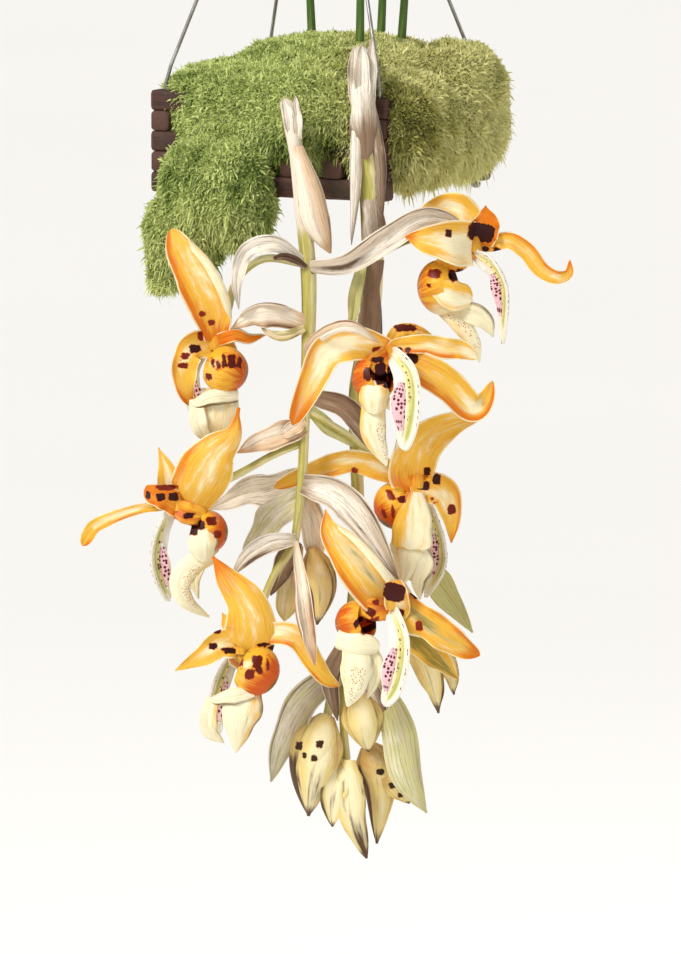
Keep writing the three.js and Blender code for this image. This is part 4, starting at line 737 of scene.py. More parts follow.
BUDS = [
    dict(
        body=dict(path=[[3, -298, -114], [-2, -313, -120], [-6, -334, -120], [-8, -357, -116]], half=15,
                  deep=11, foot=0.3, widest=0.42, blunt=0.85, edges=(0, 1), edge_from=0.42, tan=0.05),
        sepals=[
            dict(path=[[3, -301, -122], [-1, -318, -131], [-5, -336, -131], [-8, -356, -119]], half=13,
                 cup=-0.9, tan=0.05, edges=(0.1, 0.5), edge_from=0.5, blunt=0.7, uneven=0.08,
                 patches=[(DARK, 0.75, -0.25, 0.2, 0.3, 0.4), (WARM, 0.3, -0.6, 0.3, 0.3, 0.5)]),
        ],
    ),
    dict(
        body=dict(path=[[14, -324, -114], [13, -335, -118], [14, -348, -118], [15, -366, -116]], half=10.5,
                  deep=8, foot=0.3, widest=0.35, tan=0),
        sepals=[
            dict(path=[[16, -324, -122], [16, -341, -128], [19, -361, -127], [26, -381.8, -118]], half=9,
                 cup=-0.6, tan=0, edges=(0.6, 0.2), blunt=0.7, ripple=1,
                 patches=[(DARK, 0.9, -0.1, 0.22, 0.5, 0.9), (DARK, 0.35, 0.45, 0.2, 0.14, 0.6),
                          (PALE, 0.4, 0, 0.4, 0.6, 0.8)]),
            dict(path=[[13, -325, -118], [8, -337, -126], [6, -350, -126], [6, -363, -122]], half=8, tan=0,
                 edges=(0.1, 0.9),
                 patches=[(DARK, 0.55, -0.1, 0.2, 0.16, 0.6), (PALE, 0.4, 0, 0.4, 0.6, 0.9)]),
        ],
    ),
    dict(
        body=dict(path=[[27, -316, -104], [31, -327, -107], [34, -342, -107], [32, -374, -103]], half=12,
                  deep=8, foot=0.4, widest=0.35, tan=0.6, edges=(0, 0.9)),
        sepals=[
            dict(path=[[33, -322, -112], [41, -334, -114], [45, -342, -112], [51, -350, -108]], half=7.5,
                 tan=0.5, edges=(0.7, 0)),
        ],
    ),
    dict(body=dict(path=[[21, -286, -118], [23, -297, -124], [25, -307, -124], [27, -319, -120]], half=12,
                   deep=8, foot=0.5, widest=0.4, tan=0.2, edges=(0.2, 0)), sepals=[]),
    dict(
        body=dict(path=[[55, -236, -108], [58, -250, -112], [63, -268, -112], [68, -297, -108]], half=9.5,
                  deep=7, foot=0.3, widest=0.45, tan=0.6, edges=(0.5, 0.5)),
        sepals=[
            dict(path=[[56, -244, -116], [66, -258, -117], [74, -270, -115], [77, -286, -110]], half=7,
                 tan=0.4, ripple=2, waves=3, edges=(0.5, 0.2)),
            dict(path=[[50, -240, -116], [57, -258, -119], [64, -276, -118], [68, -295, -112]], half=9,
                 tan=0.35, ripple=2.2, waves=3, edges=(0.7, 0.1)),
        ],
    ),
]
BULBS = [
    dict(at=[-20, 38], lean=[-0.16, 0.14], turn=150),
    dict(at=[12, 44], lean=[0.02, 0.2], turn=84),
    dict(at=[36, 14], lean=[0.16, 0.02], turn=-2),
    dict(at=[26, -12], lean=[0.12, -0.1], turn=-58),
]
# Spots as the viewer sees them: right, up, half width, half height, then how red and how far turned
SPOTS = {
    "bloom_1_tepals": [(-69.2, -64.8, 1.9, 1.6, 1), (-63.5, -69.9, 2.1, 1.7, 1), (-70.2, -77.7, 1.5, 2.6, 1),
                       (-73.2, -85, 3.2, 2.1), (-79, -89.2, 2.7, 1.9, 0.8), (-80, -94.7, 3, 1.7, 0.7)],
    "bloom_1_lip": [(-63, -93.2, 0.9, 2.2, 0.5), (-60, -94.5, 1, 2.2, 0.5), (-56.3, -92.5, 1.1, 3.8, 0.4),
                    (-52, -92.5, 2.2, 3.8, 0.4), (-47.6, -93, 1.3, 3, 0.5), (-65.3, -101.2, 2, 1.9, 0.6)],
    "bloom_2_tepals": [(72.8, -19.4, 1.8, 2), (91.4, -18.4, 7.6, 5.2, 0.1, -8), (93.8, -27.8, 2, 1.4),
                       (101, -28.4, 1.7, 1.3), (96.4, -31.6, 1.8, 1.1)],
    "bloom_2_lip": [(75.2, -43.2, 1.9, 3.4), (79.6, -42.8, 2.1, 3.4), (64.8, -42, 3.6, 2.8, 0.8),
                    (61.5, -48.7, 1.3, 1.3, 0.6)],
    "bloom_3_tepals": [(48, -73.6, 6.2, 1.9, 0.4), (31.3, -86.3, 2.3, 1.9, 1), (31.5, -92, 3.6, 1.5),
                       (38, -91, 2.5, 1.2), (44, -87, 2.2, 2.2, 0.5), (51, -91, 4, 2.8),
                       (49.5, -86.4, 1.8, 1.2, 0.5)],
    "bloom_3_lip": [(33.6, -99.8, 3.3, 6.4), (40, -99, 2.5, 4.5), (26, -100.5, 2.3, 3.6, 0.3),
                    (31.5, -92, 3.6, 1.5), (37.5, -106, 2.2, 2)],
    "bloom_4_tepals": [(18.9, -155.3, 1.9, 1.8, 1), (60.8, -155.9, 2, 2.3), (66.3, -160.2, 2.2, 3.2),
                       (59, -163.9, 3.6, 2.4), (75, -177.6, 2.3, 2.8, 0.7), (63.8, -171.8, 0.8, 0.7, 0.6),
                       (66, -173.6, 0.9, 0.6, 0.6)],
    "bloom_4_lip": [(39.4, -169.4, 1.8, 3, 1, 20), (46, -172, 2.4, 2, 0.5), (36, -180, 1.2, 2.6, 1, 15),
                    (41, -179, 1, 3.4, 1)],
    "bloom_5_tepals": [(-100.5, -169.4, 1.6, 2.2), (-93.2, -170.5, 2.6, 2.2), (-86, -170.4, 2.8, 2.3),
                       (-94, -184.2, 1.5, 0.9), (-87, -184, 3.6, 0.9), (-90, -165.2, 5.5, 1.6, 0.9)],
    "bloom_5_lip": [(-77, -181.3, 3.2, 1.7), (-74.4, -189.7, 2.6, 2.8), (-69.7, -186.8, 1.9, 2.8),
                    (-64, -184.6, 3, 2.4, 0.6), (-60.5, -192, 2, 2, 0.9)],
    "bloom_6_tepals": [(-60.6, -247, 2.3, 2.6, 0.3), (-63.2, -256.7, 2.4, 1.9), (-53.6, -259.3, 3.6, 1.6),
                       (-34, -256, 3.4, 1.2), (-27.5, -258.5, 3.6, 2.2), (-21, -261.5, 3, 1.6)],
    "bloom_6_lip": [(-37.4, -265.7, 2.8, 3.8, 0.5), (-41.8, -273, 2.6, 2.8, 0.7), (-47, -265, 1.4, 3.6, 0.9),
                    (-35.8, -271, 1.6, 1.8, 0.5), (-31, -268, 0.8, 5, 0.9)],
    "bloom_7_tepals": [(41.6, -225.2, 6.1, 5.2, 0.2, -15), (52, -226, 1.4, 1.2), (54, -228, 1.2, 1.1),
                       (45, -238, 2.2, 2.8, 0.4), (56, -244.5, 1.9, 3, 1), (31, -230.5, 1.9, 1.6, 0.9)],
    "bloom_7_lip": [(20.6, -242.4, 1.7, 3.6, 0.1, -40), (27.8, -236.6, 3.2, 2, 0.5, -30),
                    (29.6, -241.6, 3.4, 1.3, 0.9, 20), (27.5, -246, 5.4, 1.8, 0.1, 28),
                    (31, -231, 1.8, 1.6, 0.9), (44, -238, 2.2, 2.6, 0.5)],
    "bud_1": [(-13.4, -315.4, 2, 2.2), (-1.4, -314.4, 2.1, 2.3), (-10.2, -321, 1.2, 1.5),
              (-4.6, -322.4, 1.6, 1.8)],
    "bud_3": [(34, -331, 2.4, 2, 0), (41, -339, 2, 1.8), (46, -345, 1.6, 1.6)],
}


def paint_tepal(look):
    """Golden, with orange margins, throat and tip, a painted cream highlight (the sheen) along the middle
    and a pale rim.
    """
    left, right = look.get("warm", (0.25, 0.25))
    sheen, tip, all_over = look.get("sheen", 0.6), look.get("tip", 0.3), look.get("rich", 0)

    def paint(t, s, seen):
        warm = np.where(s < 0, left, right) * smooth(0.2, 0.95, np.abs(s)) + tip * smooth(0.8, 1, t)
        warm = warm + 0.8 * hill(t, 0, 0.13) + all_over
        pale = sheen * hill(t, 0.5, 0.3) * hill(s, 0.1, 0.42) * seen
        under = 0.85 * (1 - seen) * smooth(0.45, 0.8, np.abs(s))
        rim = 0.75 * smooth(0.88, 0.98, np.abs(s))
        return np.stack([warm, pale + under + rim, 0 * t, 0 * t], -1)

    return paint


def paint_lip(look):
    """Cream and pale yellow with painted olive shade along its rims and in a crease; some parts have a strip
    of orange dots.
    """
    low, high, left, right = look.get("dotted", (0, 0, 0, 0))
    gold, olive_shade, lemon = look.get("gold", (0.25, 0.25)), look.get("olive_shade", 0.3), look.get("lemon", 0)

    def paint(t, s, seen):
        side = np.where(s < 0, gold[0], gold[1])
        warm = 0.6 * hill(t, 0, 0.16) * max(gold)
        pale = 1 - side * (0.35 + 0.65 * smooth(0.1, 0.8, np.abs(s))) - lemon * smooth(-0.5, 0.1, s)
        # Painted olive shade along one margin and in a crease.
        crease_shade = hill(s, -0.3, 0.1) * band(t, 0.15, 0.4, 0.7, 0.95)
        dark = olive_shade * (smooth(0.6, 1, -s) + 0.6 * crease_shade) * (1 - smooth(0.85, 1, t))
        strip = band(t, low, low + 0.08, high - 0.08, high)
        strip = strip * band(s, left - 0.1, left + 0.1, right - 0.1, right + 0.1)
        return np.stack([warm, pale, dark, strip if high else 0 * t], -1)

    return paint


def paint_neck(t, s, seen):
    return np.stack([0.6 - 0.3 * t, 0.2 * smooth(0.8, 1, np.abs(s)), 0.1 + 0 * t, 0 * t], -1)


def paint_column(wing):
    """Cream, green and yellow beside its ridge, the green stripe being painted shade, with dark dashes along
    it and along its outer margin.
    """

    def paint(t, s, seen):
        s = s * wing
        along = band(t, 0.12, 0.35, 0.88, 1)
        # The green stripe beside the ridge is painted shade; the green at the foot is the column's own.
        green = 0.62 * hill(s, -0.3, 0.26) * along + 0.6 * hill(t, 0, 0.14)
        yellow = 0.7 * hill(s, 0, 0.32) * along
        dashes = hill(s, -0.9, 0.1) + hill(s, -0.05, 0.07)
        speck = dashes * band(t, 0.2, 0.35, 0.8, 0.92)
        shade = 0.35 * hill(s, 0.45, 0.12) * along
        return np.stack([green, 0.9 - green - yellow, shade, speck], -1)

    return paint


def paint_wing(t, s, seen):
    """Pink with rows of purple dots, and a pale rim."""
    inside = (1 - smooth(0.75, 0.92, np.abs(s))) * band(t, 0.04, 0.12, 0.9, 0.97)
    return np.stack([0 * t, 1 - inside, 0.85 * inside, inside], -1)


def wing_of(column, side):
    """The flap on one side of a column's lower half."""
    middle, along = spline(column["path"], np.linspace(0.44, 0.9, 5))
    out = unit(np.cross(along, aim([0, 0, -1]))) * side
    shift = column["half"] * np.array([[0.35], [0.62], [0.72], [0.6], [0.3]])
    path = middle + out * shift + aim([0, 0, -0.8])
    flap = dict(foot=0.3, widest=0.5, blunt=0.6, cup=-0.5, thick=1.2, rib=0, ripple=0.2)
    return dict(path=path, half=column["half"] * 0.5, **flap)


def paint_bract(look):
    """Papery: paler along one side with a painted highlight, and at its rim; grey inside, with painted shade
    along its other side and on its back; brown and veined where it dries.
    """
    dull_and_shaded, green, dry_base = look.get("dull_and_shaded", 0.25), look.get("green", 0), look.get("dry_base", 0.5)

    def paint(t, s, seen):
        dry = dull_and_shaded + dry_base * hill(t, 0, 0.12) + 0.5 * smooth(0.8, 1, t)
        # lit is a painted highlight; dark adds painted shade along the other side and on the back, with vein
        # lines.
        lit = hill(s, 0.35, 0.5) * band(t, 0, 0.2, 0.8, 1)
        rim = smooth(0.9, 0.98, np.abs(s))
        line = hill(np.abs(s), 0.8, 0.06) * smooth(0.05, 0.2, t)
        dark = (0.15 + 0.5 * dull_and_shaded) * smooth(0.0, 0.9, -s) * smooth(0.05, 0.3, t) + 0.3 * (1 - seen)
        dark = dark + 0.45 * line + 0.3 * hill(s, 0, 0.05) * smooth(0.1, 0.4, t)
        pale = max(0, 0.9 - 0.8 * dull_and_shaded) * lit + 0.6 * rim + look.get("white", 0)
        return np.stack([dry, pale, dark * (1 - 0.8 * rim), 0 * t + green], -1)

    return paint


def paint_stalk(t, s, seen):
    # One side is paler, a painted highlight, and the other warmer and darker, painted shade.
    warm, dark = 0.45 * smooth(0.1, 1, -s), 0.5 * smooth(0.6, 1, -s)
    return np.stack([warm, 0.95 * smooth(0, 0.7, s), dark, 0 * t], -1)


def paint_sheathed(share):
    """A stalk that is beige and papery for its first share, where it leaves the moss."""

    def paint(t, s, seen):
        bare = smooth(share - 0.03, share + 0.03, t)
        return paint_stalk(t, s, seen) * bare[:, None] + np.outer(1 - bare, [0, 0.5, 0, 1])

    return paint


def paint_bud(look):
    """Cream and pale yellow, tan along one side, with brown streaks and a brown point."""
    tan = look.get("tan", 0.3)
    left, right = look.get("edges", (0.2, 0.2))
    edge_from = look.get("edge_from", 0.2)

    def paint(t, s, seen):
        warm = tan * (1 - smooth(0.2, 0.6, t)) + 0.5 * tan + 0.3 * smooth(0.5, 1, np.abs(s))
        pale = 0.85 * hill(s, -0.1, 0.5) * smooth(0, 0.25, t) * (1 - tan)
        edge = np.where(s < 0, left, right) * smooth(0.6, 0.95, np.abs(s))
        dark = edge * smooth(edge_from, edge_from + 0.2, t)
        streak = 0.55 * hill(s, 0.25 * t, 0.07) * smooth(0.35, 0.6, t) * seen
        return np.stack([warm, pale, dark + streak * 0.7 + 0.8 * smooth(0.88, 1, t), 0 * t], -1)

    return paint


def paint_leaf(t, s, seen):
    warm = 0.35 * (1 - seen) + 0.3 * smooth(0.85, 1, t)
    return np.stack([warm, 0.35 * hill(s, 0, 0.06), 0.25 * np.abs(s) ** 4, 0 * t], -1)


def seen_shape(shape):
    turned = {"face": aim(shape["face"])} if "face" in shape else {}
    return {**shape, **turned, "path": place(shape["path"])}


def rooted(hub, shape, share=0.4):
    """A path that starts away from its bloom's hub gets a first point nearer to it."""
    made = seen_shape(shape)
    heart, first = place(hub), made["path"][0]
    if np.linalg.norm(first - heart) > ROOTED_WITHIN:
        made["path"] = np.vstack([heart + (first - heart) * share, made["path"]])
    return made


# Materials: nodes on the painted masks, with veins along each blade
class Nodes:
    """Short calls for building one material's node tree."""

    def __init__(self, name):
        self.material = bpy.data.materials.new(name)
        self.material.use_nodes = True
        self.tree = self.material.node_tree
        self.shader = self.tree.nodes["Principled BSDF"]

    def node(self, kind, **settings):
        made = self.tree.nodes.new(kind)
        for key, value in settings.items():
            setattr(made, key, value)
        return made

    def feed(self, socket, value):
        if isinstance(value, bpy.types.NodeSocket):
            self.tree.links.new(value, socket)
        elif isinstance(value, tuple) and len(value) == 3 and socket.type == "RGBA":
            socket.default_value = (*value, 1)
        else:
            socket.default_value = value

    def math(self, operation, a, b=0.0):
        made = self.node("ShaderNodeMath", operation=operation)
        self.feed(made.inputs[0], a)
        self.feed(made.inputs[1], b)
        return made.outputs[0]

    def plus(self, a, b):
        return self.math("ADD", a, b)

    def times(self, a, b):
        return self.math("MULTIPLY", a, b)

    def mix(self, share, a, b):
        made = self.node("ShaderNodeMix", data_type="RGBA")
        self.feed(made.inputs["Factor"], share)
        self.feed(made.inputs["A"], a)
        self.feed(made.inputs["B"], b)
        return made.outputs["Result"]

    def spread(self, value, low, high, to_low=0.0, to_high=1.0):
        made = self.node("ShaderNodeMapRange", interpolation_type="SMOOTHSTEP")
        for socket, number in zip(made.inputs, (value, low, high, to_low, to_high)):
            self.feed(socket, number)
        return made.outputs[0]

    def attribute(self, name):
        return self.node("ShaderNodeAttribute", attribute_name=name)

    def parts(self, socket, kind="Color"):
        """The channels of a colour, or with XYZ those of a vector."""
        made = self.node(f"ShaderNodeSeparate{kind}")
        self.feed(made.inputs[0], socket)
        return made.outputs

    def scaled(self, vector, scale):
        made = self.node("ShaderNodeMapping")
        self.feed(made.inputs["Vector"], vector)
        made.inputs["Scale"].default_value = scale
        return made.outputs[0]

    def noise(self, vector, scale=1.0, detail=3.0, rough=0.5):
        made = self.node("ShaderNodeTexNoise")
        self.feed(made.inputs["Vector"], vector)
        for name, number in (("Scale", scale), ("Detail", detail), ("Roughness", rough)):
            made.inputs[name].default_value = number
        return made.outputs["Fac"]

    def place(self):
        return self.node("ShaderNodeTexCoord").outputs["Object"]

    def bump(self, height, strength, distance):
        made = self.node("ShaderNodeBump")
        made.inputs["Strength"].default_value = strength
        made.inputs["Distance"].default_value = distance
        self.feed(made.inputs["Height"], height)
        self.feed(self.shader.inputs["Normal"], made.outputs[0])

    def set(self, **values):
        for name, value in values.items():
            self.feed(self.shader.inputs[name.replace("_", " ")], value)
        return self.material


RED_BROWN = (0.22, 0.016, 0.004)
MAROON = (0.016, 0.001, 0.002)


def tissue(name, ground, warm, pale, dark, spot=MAROON, veins=0.35, gloss=0.42, specks=None, glow=0.06,
           streaks=(0.9, 0.05, 0.9), mottle=0.5, tint=None, lines=0):
    """Plant tissue: painted masks over a ground colour, veined along the grain; lines are fine dark ribs.

    The fourth mask brings the tint, or the specks, which are given by their colour, size and shape."""
    n = Nodes(name)
    tone = n.attribute("tone")
    masks = n.parts(tone.outputs["Color"])
    grain = n.attribute("grain").outputs["Vector"]
    streak = n.noise(n.scaled(grain, streaks), 1, 4, 0.6)
    fine = n.noise(n.scaled(grain, tuple(3 * v for v in streaks)), 1, 2, 0.5)
    cloud = n.noise(n.place(), 90, 3, 0.55)
    dabs = n.noise(n.scaled(grain, (0.22, 0.07, 0.22)), 1, 3, 0.55)
    broad, narrow = n.math("SUBTRACT", dabs, 0.5), n.math("SUBTRACT", streak, 0.5)
    uneven = n.plus(n.times(broad, 1.3), n.times(narrow, 0.9))

    def share(mask):
        rough = n.times(uneven, n.spread(mask, 0, 0.3))
        return n.spread(n.plus(mask, rough), 0.05, 0.85)

    colour = n.mix(n.times(n.spread(dabs, 0.52, 0.7), mottle), ground, pale)
    colour = n.mix(n.times(n.spread(streak, 0.42, 0.7), veins), colour, warm)
    colour = n.mix(share(masks[0]), colour, warm)
    colour = n.mix(share(masks[1]), colour, pale)
    colour = n.mix(n.times(n.spread(fine, 0.52, 0.7), veins * 0.7), colour, warm)
    colour = n.mix(share(masks[2]), colour, dark)
    if tint:
        colour = n.mix(share(tone.outputs["Alpha"]), colour, tint)
    if lines:
        across = n.parts(grain, "XYZ")[0]
        wave = n.math("SINE", n.plus(n.times(across, 2.6), n.times(dabs, 9.0)))
        ribs = n.times(n.spread(wave, 0.8, 0.98), n.spread(fine, 0.35, 0.6))
        colour = n.mix(n.times(ribs, lines), colour, dark)
    if specks:
        speck_colour, size, shape = specks
        cells = n.node("ShaderNodeTexVoronoi", feature="F1")
        n.feed(cells.inputs["Vector"], n.scaled(grain, shape))
        cells.inputs["Scale"].default_value = 1.0
        cells.inputs["Randomness"].default_value = 0.55
        dots = n.spread(cells.outputs["Distance"], size, size * 0.75)
        colour = n.mix(n.times(dots, n.spread(tone.outputs["Alpha"], 0.3, 0.6)), colour, speck_colour)
    distance, redness, _ = n.parts(n.attribute("mark").outputs["Vector"], "XYZ")
    ragged = n.times(n.math("SUBTRACT", n.noise(n.place(), 380, 2, 0.5), 0.5), 2.2)
    edge = n.plus(distance, ragged)
    colour = n.mix(n.times(n.spread(edge, 0.6, 0.1), 0.7), colour, warm)
    colour = n.mix(n.spread(edge, 0.12, -0.08), colour, n.mix(redness, spot, RED_BROWN))
    n.bump(n.plus(streak, n.times(fine, 0.5)), 0.45, 0.0008)
    return n.set(
        Base_Color=colour, Roughness=n.spread(cloud, 0.2, 0.8, gloss - 0.1, gloss + 0.12),
        Subsurface_Weight=glow, Subsurface_Scale=0.003, Subsurface_Radius=(1.0, 0.6, 0.3),
        Specular_IOR_Level=0.22,
    )


# On tepals the dark is painted olive shade, and the pale partly a painted highlight.
tepal_skin = tissue(
    "tepal_skin", ground=(0.90, 0.53, 0.06), warm=(0.74, 0.19, 0.004), pale=(1.0, 0.89, 0.58),
    dark=(0.30, 0.24, 0.04),
)
# On the lip the dark is painted shade: olive along rims and in a crease, and on the sac its shaded side and
# the inside of its mouth.
lip_skin = tissue(
    "lip_skin", ground=(0.92, 0.52, 0.04), warm=(0.66, 0.10, 0.004), pale=(0.97, 0.91, 0.63),
    dark=(0.17, 0.10, 0.015), gloss=0.28, specks=((0.50, 0.13, 0.01), 0.34, (0.8, 0.8, 0.8)), mottle=0.2,
    veins=0.22,
)
# The column's warm is green: painted shade in a stripe beside the ridge, and its own green at the foot.
column_skin = tissue(
    "column_skin", ground=(0.90, 0.78, 0.34), warm=(0.46, 0.50, 0.12), pale=(0.97, 0.93, 0.80),
    dark=(0.88, 0.56, 0.62), gloss=0.3, specks=((0.16, 0.002, 0.03), 0.46, (0.50, 0.42, 0.50)), mottle=0.3,
    veins=0.12,
)
PAPER = dict(gloss=0.6, glow=0.03, streaks=(1.1, 0.035, 1.1))
# On bracts the pale is partly a painted highlight along one side, and the dark partly painted shade along
# the other side and on the back.
bract_skin = tissue(
    "bract_skin", ground=(0.67, 0.56, 0.42), warm=(0.28, 0.18, 0.11), pale=(0.94, 0.86, 0.73),
    dark=(0.11, 0.06, 0.035), veins=0.65, tint=(0.62, 0.59, 0.25), lines=0.45, **PAPER,
)
rosy_skin = tissue(
    "rosy_skin", ground=(0.82, 0.59, 0.38), warm=(0.56, 0.32, 0.17), pale=(0.96, 0.85, 0.68),
    dark=(0.26, 0.14, 0.07), veins=0.5, tint=(0.66, 0.58, 0.22), lines=0.35, **PAPER,
)
# On stalks the pale is a painted highlight on one side, and the warm and dark painted shade on the other.
stalk_skin = tissue(
    "stalk_skin", ground=(0.56, 0.50, 0.13), warm=(0.26, 0.22, 0.03), pale=(0.88, 0.80, 0.42),
    dark=(0.11, 0.07, 0.02), veins=0.5, gloss=0.45, tint=(0.84, 0.74, 0.60),
)
bud_skin = tissue(
    "bud_skin", ground=(0.87, 0.71, 0.28), warm=(0.62, 0.38, 0.12), pale=(0.94, 0.83, 0.51),
    dark=(0.12, 0.06, 0.025), spot=(0.03, 0.016, 0.008), veins=0.3, gloss=0.45, streaks=(0.8, 0.04, 0.8),
)
leaf_skin = tissue(
    "leaf_skin", ground=(0.06, 0.13, 0.02), warm=(0.12, 0.20, 0.03), pale=(0.26, 0.34, 0.09),
    dark=(0.03, 0.06, 0.012), veins=0.5, gloss=0.4, glow=0.02, mottle=0.15,
)
# The bulbs are painted as stalks: a painted highlight on one side, painted shade on the other.
bulb_skin = tissue(
    "bulb_skin", ground=(0.22, 0.28, 0.06), warm=(0.34, 0.34, 0.09), pale=(0.55, 0.52, 0.26),
    dark=(0.09, 0.09, 0.03), veins=0.5, gloss=0.42, glow=0.02,
)

# Blooms
for bloom in BLOOMS:
    name = bloom["name"]
    spots = {part: SPOTS.get(f"{name}_{part}", ()) for part in ("tepals", "lip")}
    skin = Skin()
    for i, tepal in enumerate(bloom["tepals"]):
        shape = {"phase": 0.37 * i, **rooted(bloom["hub"], tepal)}
        blade(skin, shape, paint_tepal(tepal), spots["tepals"], rows=42, columns=22)
    heart = place(bloom["hub"])
    stem(skin, [heart + [0, 0, 4], heart - [0, 0, 5]], [4, 5], paint_neck, rows=8)
    skin.piece(f"{name}_petals", tepal_skin, "tepal", f"{name}_tepals")
    skin = Skin()
    sac(skin, bloom["sac"], spots["lip"])
    for shape in bloom["lip"]:
        paint = paint_neck if "neck" in shape else paint_lip(shape)
        look = {"ripple": 0.3, "rib": 0.5, "fleshy": 0.5, **seen_shape(shape)}
        blade(skin, look, paint, spots["lip"], rows=30)
    skin.piece(f"{name}_labellum", lip_skin, "lip", f"{name}_lip")
    skin = Skin()
    column = dict(foot=0.4, widest=0.62, blunt=0.45, cup=0.9, thick=3.6, rib=-1.4, ripple=0.2)
    column.update(rooted(bloom["hub"], bloom["column"], 0.25))
    wing = -math.copysign(1, bloom["column"]["face"][0])
    blade(skin, column, paint_column(wing), rows=48, columns=28)
    blade(skin, wing_of(column, wing), paint_wing, rows=24, columns=14)
    skin.piece(f"{name}_gynostemium", column_skin, "column", f"{name}_column")

# Flower spikes: stalks in one piece, papery bracts in another
for number, spike in enumerate((SPIKE_1, SPIKE_2), 1):
    skin = Skin()
    stem(skin, place(spike["stalk"]["path"]), spike["stalk"]["radii"], paint_sheathed(spike["papery"]))
    for path in spike["stalklets"]:
        stem(skin, place(path), [2.4, 2.2, 2.6], paint_stalk, sides=10)
    skin.piece(f"spike_{number}_stalks", stalk_skin, "stalk", f"spike_{number}_stem")
    plain, rosy = Skin(), Skin()
    for i, shape in enumerate(spike["bracts"]):
        look = dict(foot=0.6, thick=0.7, ripple=1, waves=2, curl=0.25, phase=0.31 * i, rib=0.8)
        skin = rosy if "rosy" in shape else plain
        blade(skin, {**look, **seen_shape(shape)}, paint_bract(shape), rows=40, columns=18)
    plain.piece(f"spike_{number}_bracts", bract_skin, "stalk", f"spike_{number}_stem")
    if rosy.count:
        rosy.piece(f"spike_{number}_rosy_bracts", rosy_skin, "stalk", f"spike_{number}_stem")
    for shape in spike["buds"]:
        skin = Skin()
        bud(skin, seen_shape(shape), paint_bud(shape))
        skin.piece(f"spike_{number}_bud", bud_skin, "stalk", f"spike_{number}_stem")

for number, spec in enumerate(BUDS, 1):
    skin = Skin()
    spots = SPOTS.get(f"bud_{number}", ())
    bud(skin, seen_shape(spec["body"]), paint_bud(spec["body"]), spots, rows=44, sides=60)
    for shape in spec["sepals"]:
        blade(skin, {"ripple": 0.4, **seen_shape(shape)}, paint_bud(shape), spots, rows=42, columns=28)
    skin.piece(f"bud_{number}_closed", bud_skin, "bud", f"bud_{number}")

# The plant above: ribbed bulbs, each with one pleated leaf
BULB_FOOT = 36
BULB = dict(tall=54, half=14)
LEAF_ARCH = [[0, -2], [3, 36], [16, 80], [48, 132], [98, 170], [156, 176], [196, 152]]
for number, spec in enumerate(BULBS, 1):
    foot = np.array([*spec["at"], BULB_FOOT], float)
    way = unit(np.array([*spec["lean"], 1.0]))
    path = foot + way * np.array([[0], [0.33], [0.66], [1]]) * BULB["tall"]
    skin = Skin()
    shape = dict(path=path, half=BULB["half"], deep=BULB["half"], foot=0.6, widest=0.35, blunt=0.5)
    bud(skin, {**shape, "ridge": 0.07, "ribs": 4, "groove": 0.03}, paint_stalk, rows=36, sides=48)
    skin.piece(f"bulb_{number}_ribbed", bulb_skin, "pseudobulb", f"bulb_{number}")
    turn = math.radians(spec["turn"])
    out = np.array([math.cos(turn), math.sin(turn), 0])
    arch = path[3] + np.array([out * far + [0, 0, up] for far, up in LEAF_ARCH])
    skin = Skin()
    stem(skin, arch[:2], [2.6, 2.2], paint_leaf, sides=12)
    shape = dict(path=arch[1:], half=38, foot=0.05, widest=0.5, ripple=1.2)
    shape.update(pleats=2, fine_pleats=9, pleat_depth=2, face=out * -0.8 + [0, 0, 0.6], face_tip=[0, 0, 1])
    blade(skin, shape, paint_leaf, rows=64, columns=40)
    skin.piece(f"leaf_{number}_pleated", leaf_skin, "leaf", f"leaf_{number}")

# Basket: crossed slats with worn edges, and floor slats on the lowest pair
def wood():
    n = Nodes("slat_wood_worn")
    grain = n.attribute("grain").outputs["Vector"]
    rings = n.noise(n.scaled(grain, (0.03, 0.55, 0.55)), 1, 5, 0.65)
    pores = n.noise(n.scaled(grain, (0.12, 3.0, 3.0)), 1, 3, 0.6)
    damp = n.noise(n.place(), 24, 4, 0.6)
    colour = n.mix(n.spread(rings, 0.3, 0.7), (0.030, 0.009, 0.006), (0.080, 0.028, 0.016))
    colour = n.mix(n.times(n.spread(pores, 0.55, 0.75), 0.7), colour, (0.018, 0.008, 0.006))
    colour = n.mix(n.times(n.spread(damp, 0.55, 0.8), 0.5), colour, (0.09, 0.10, 0.035))
    tone = n.parts(n.attribute("tone").outputs["Color"])
    colour = n.mix(n.times(tone[0], 0.6), colour, (0.13, 0.06, 0.04))
    n.bump(n.plus(rings, pores), 0.5, 0.0008)
    return n.set(Base_Color=colour, Roughness=n.spread(damp, 0.3, 0.7, 0.85, 0.6))


def slat_plan():
    side = HALF - BAR / 2
    plan = []
    for layer in range(LAYERS):
        along_x = layer % 2 == 0
        for i, word in enumerate(("front", "back") if along_x else ("left", "right")):
            plan.append((f"slat_{word}_{layer // 2 + 1}", along_x, (2 * i - 1) * side, layer))
    for i in range(1, FLOOR_BARS + 1):
        plan.append((f"slat_floor_{i}", False, -side + 2 * side * i / (FLOOR_BARS + 1), 1))
    return plan


ROUNDED = 1.3  # how far a slat's corners reach, as a share of half its side; sharp ones would reach 1.41
WEAR = 0.18  # mm that its edges have lost, at the most


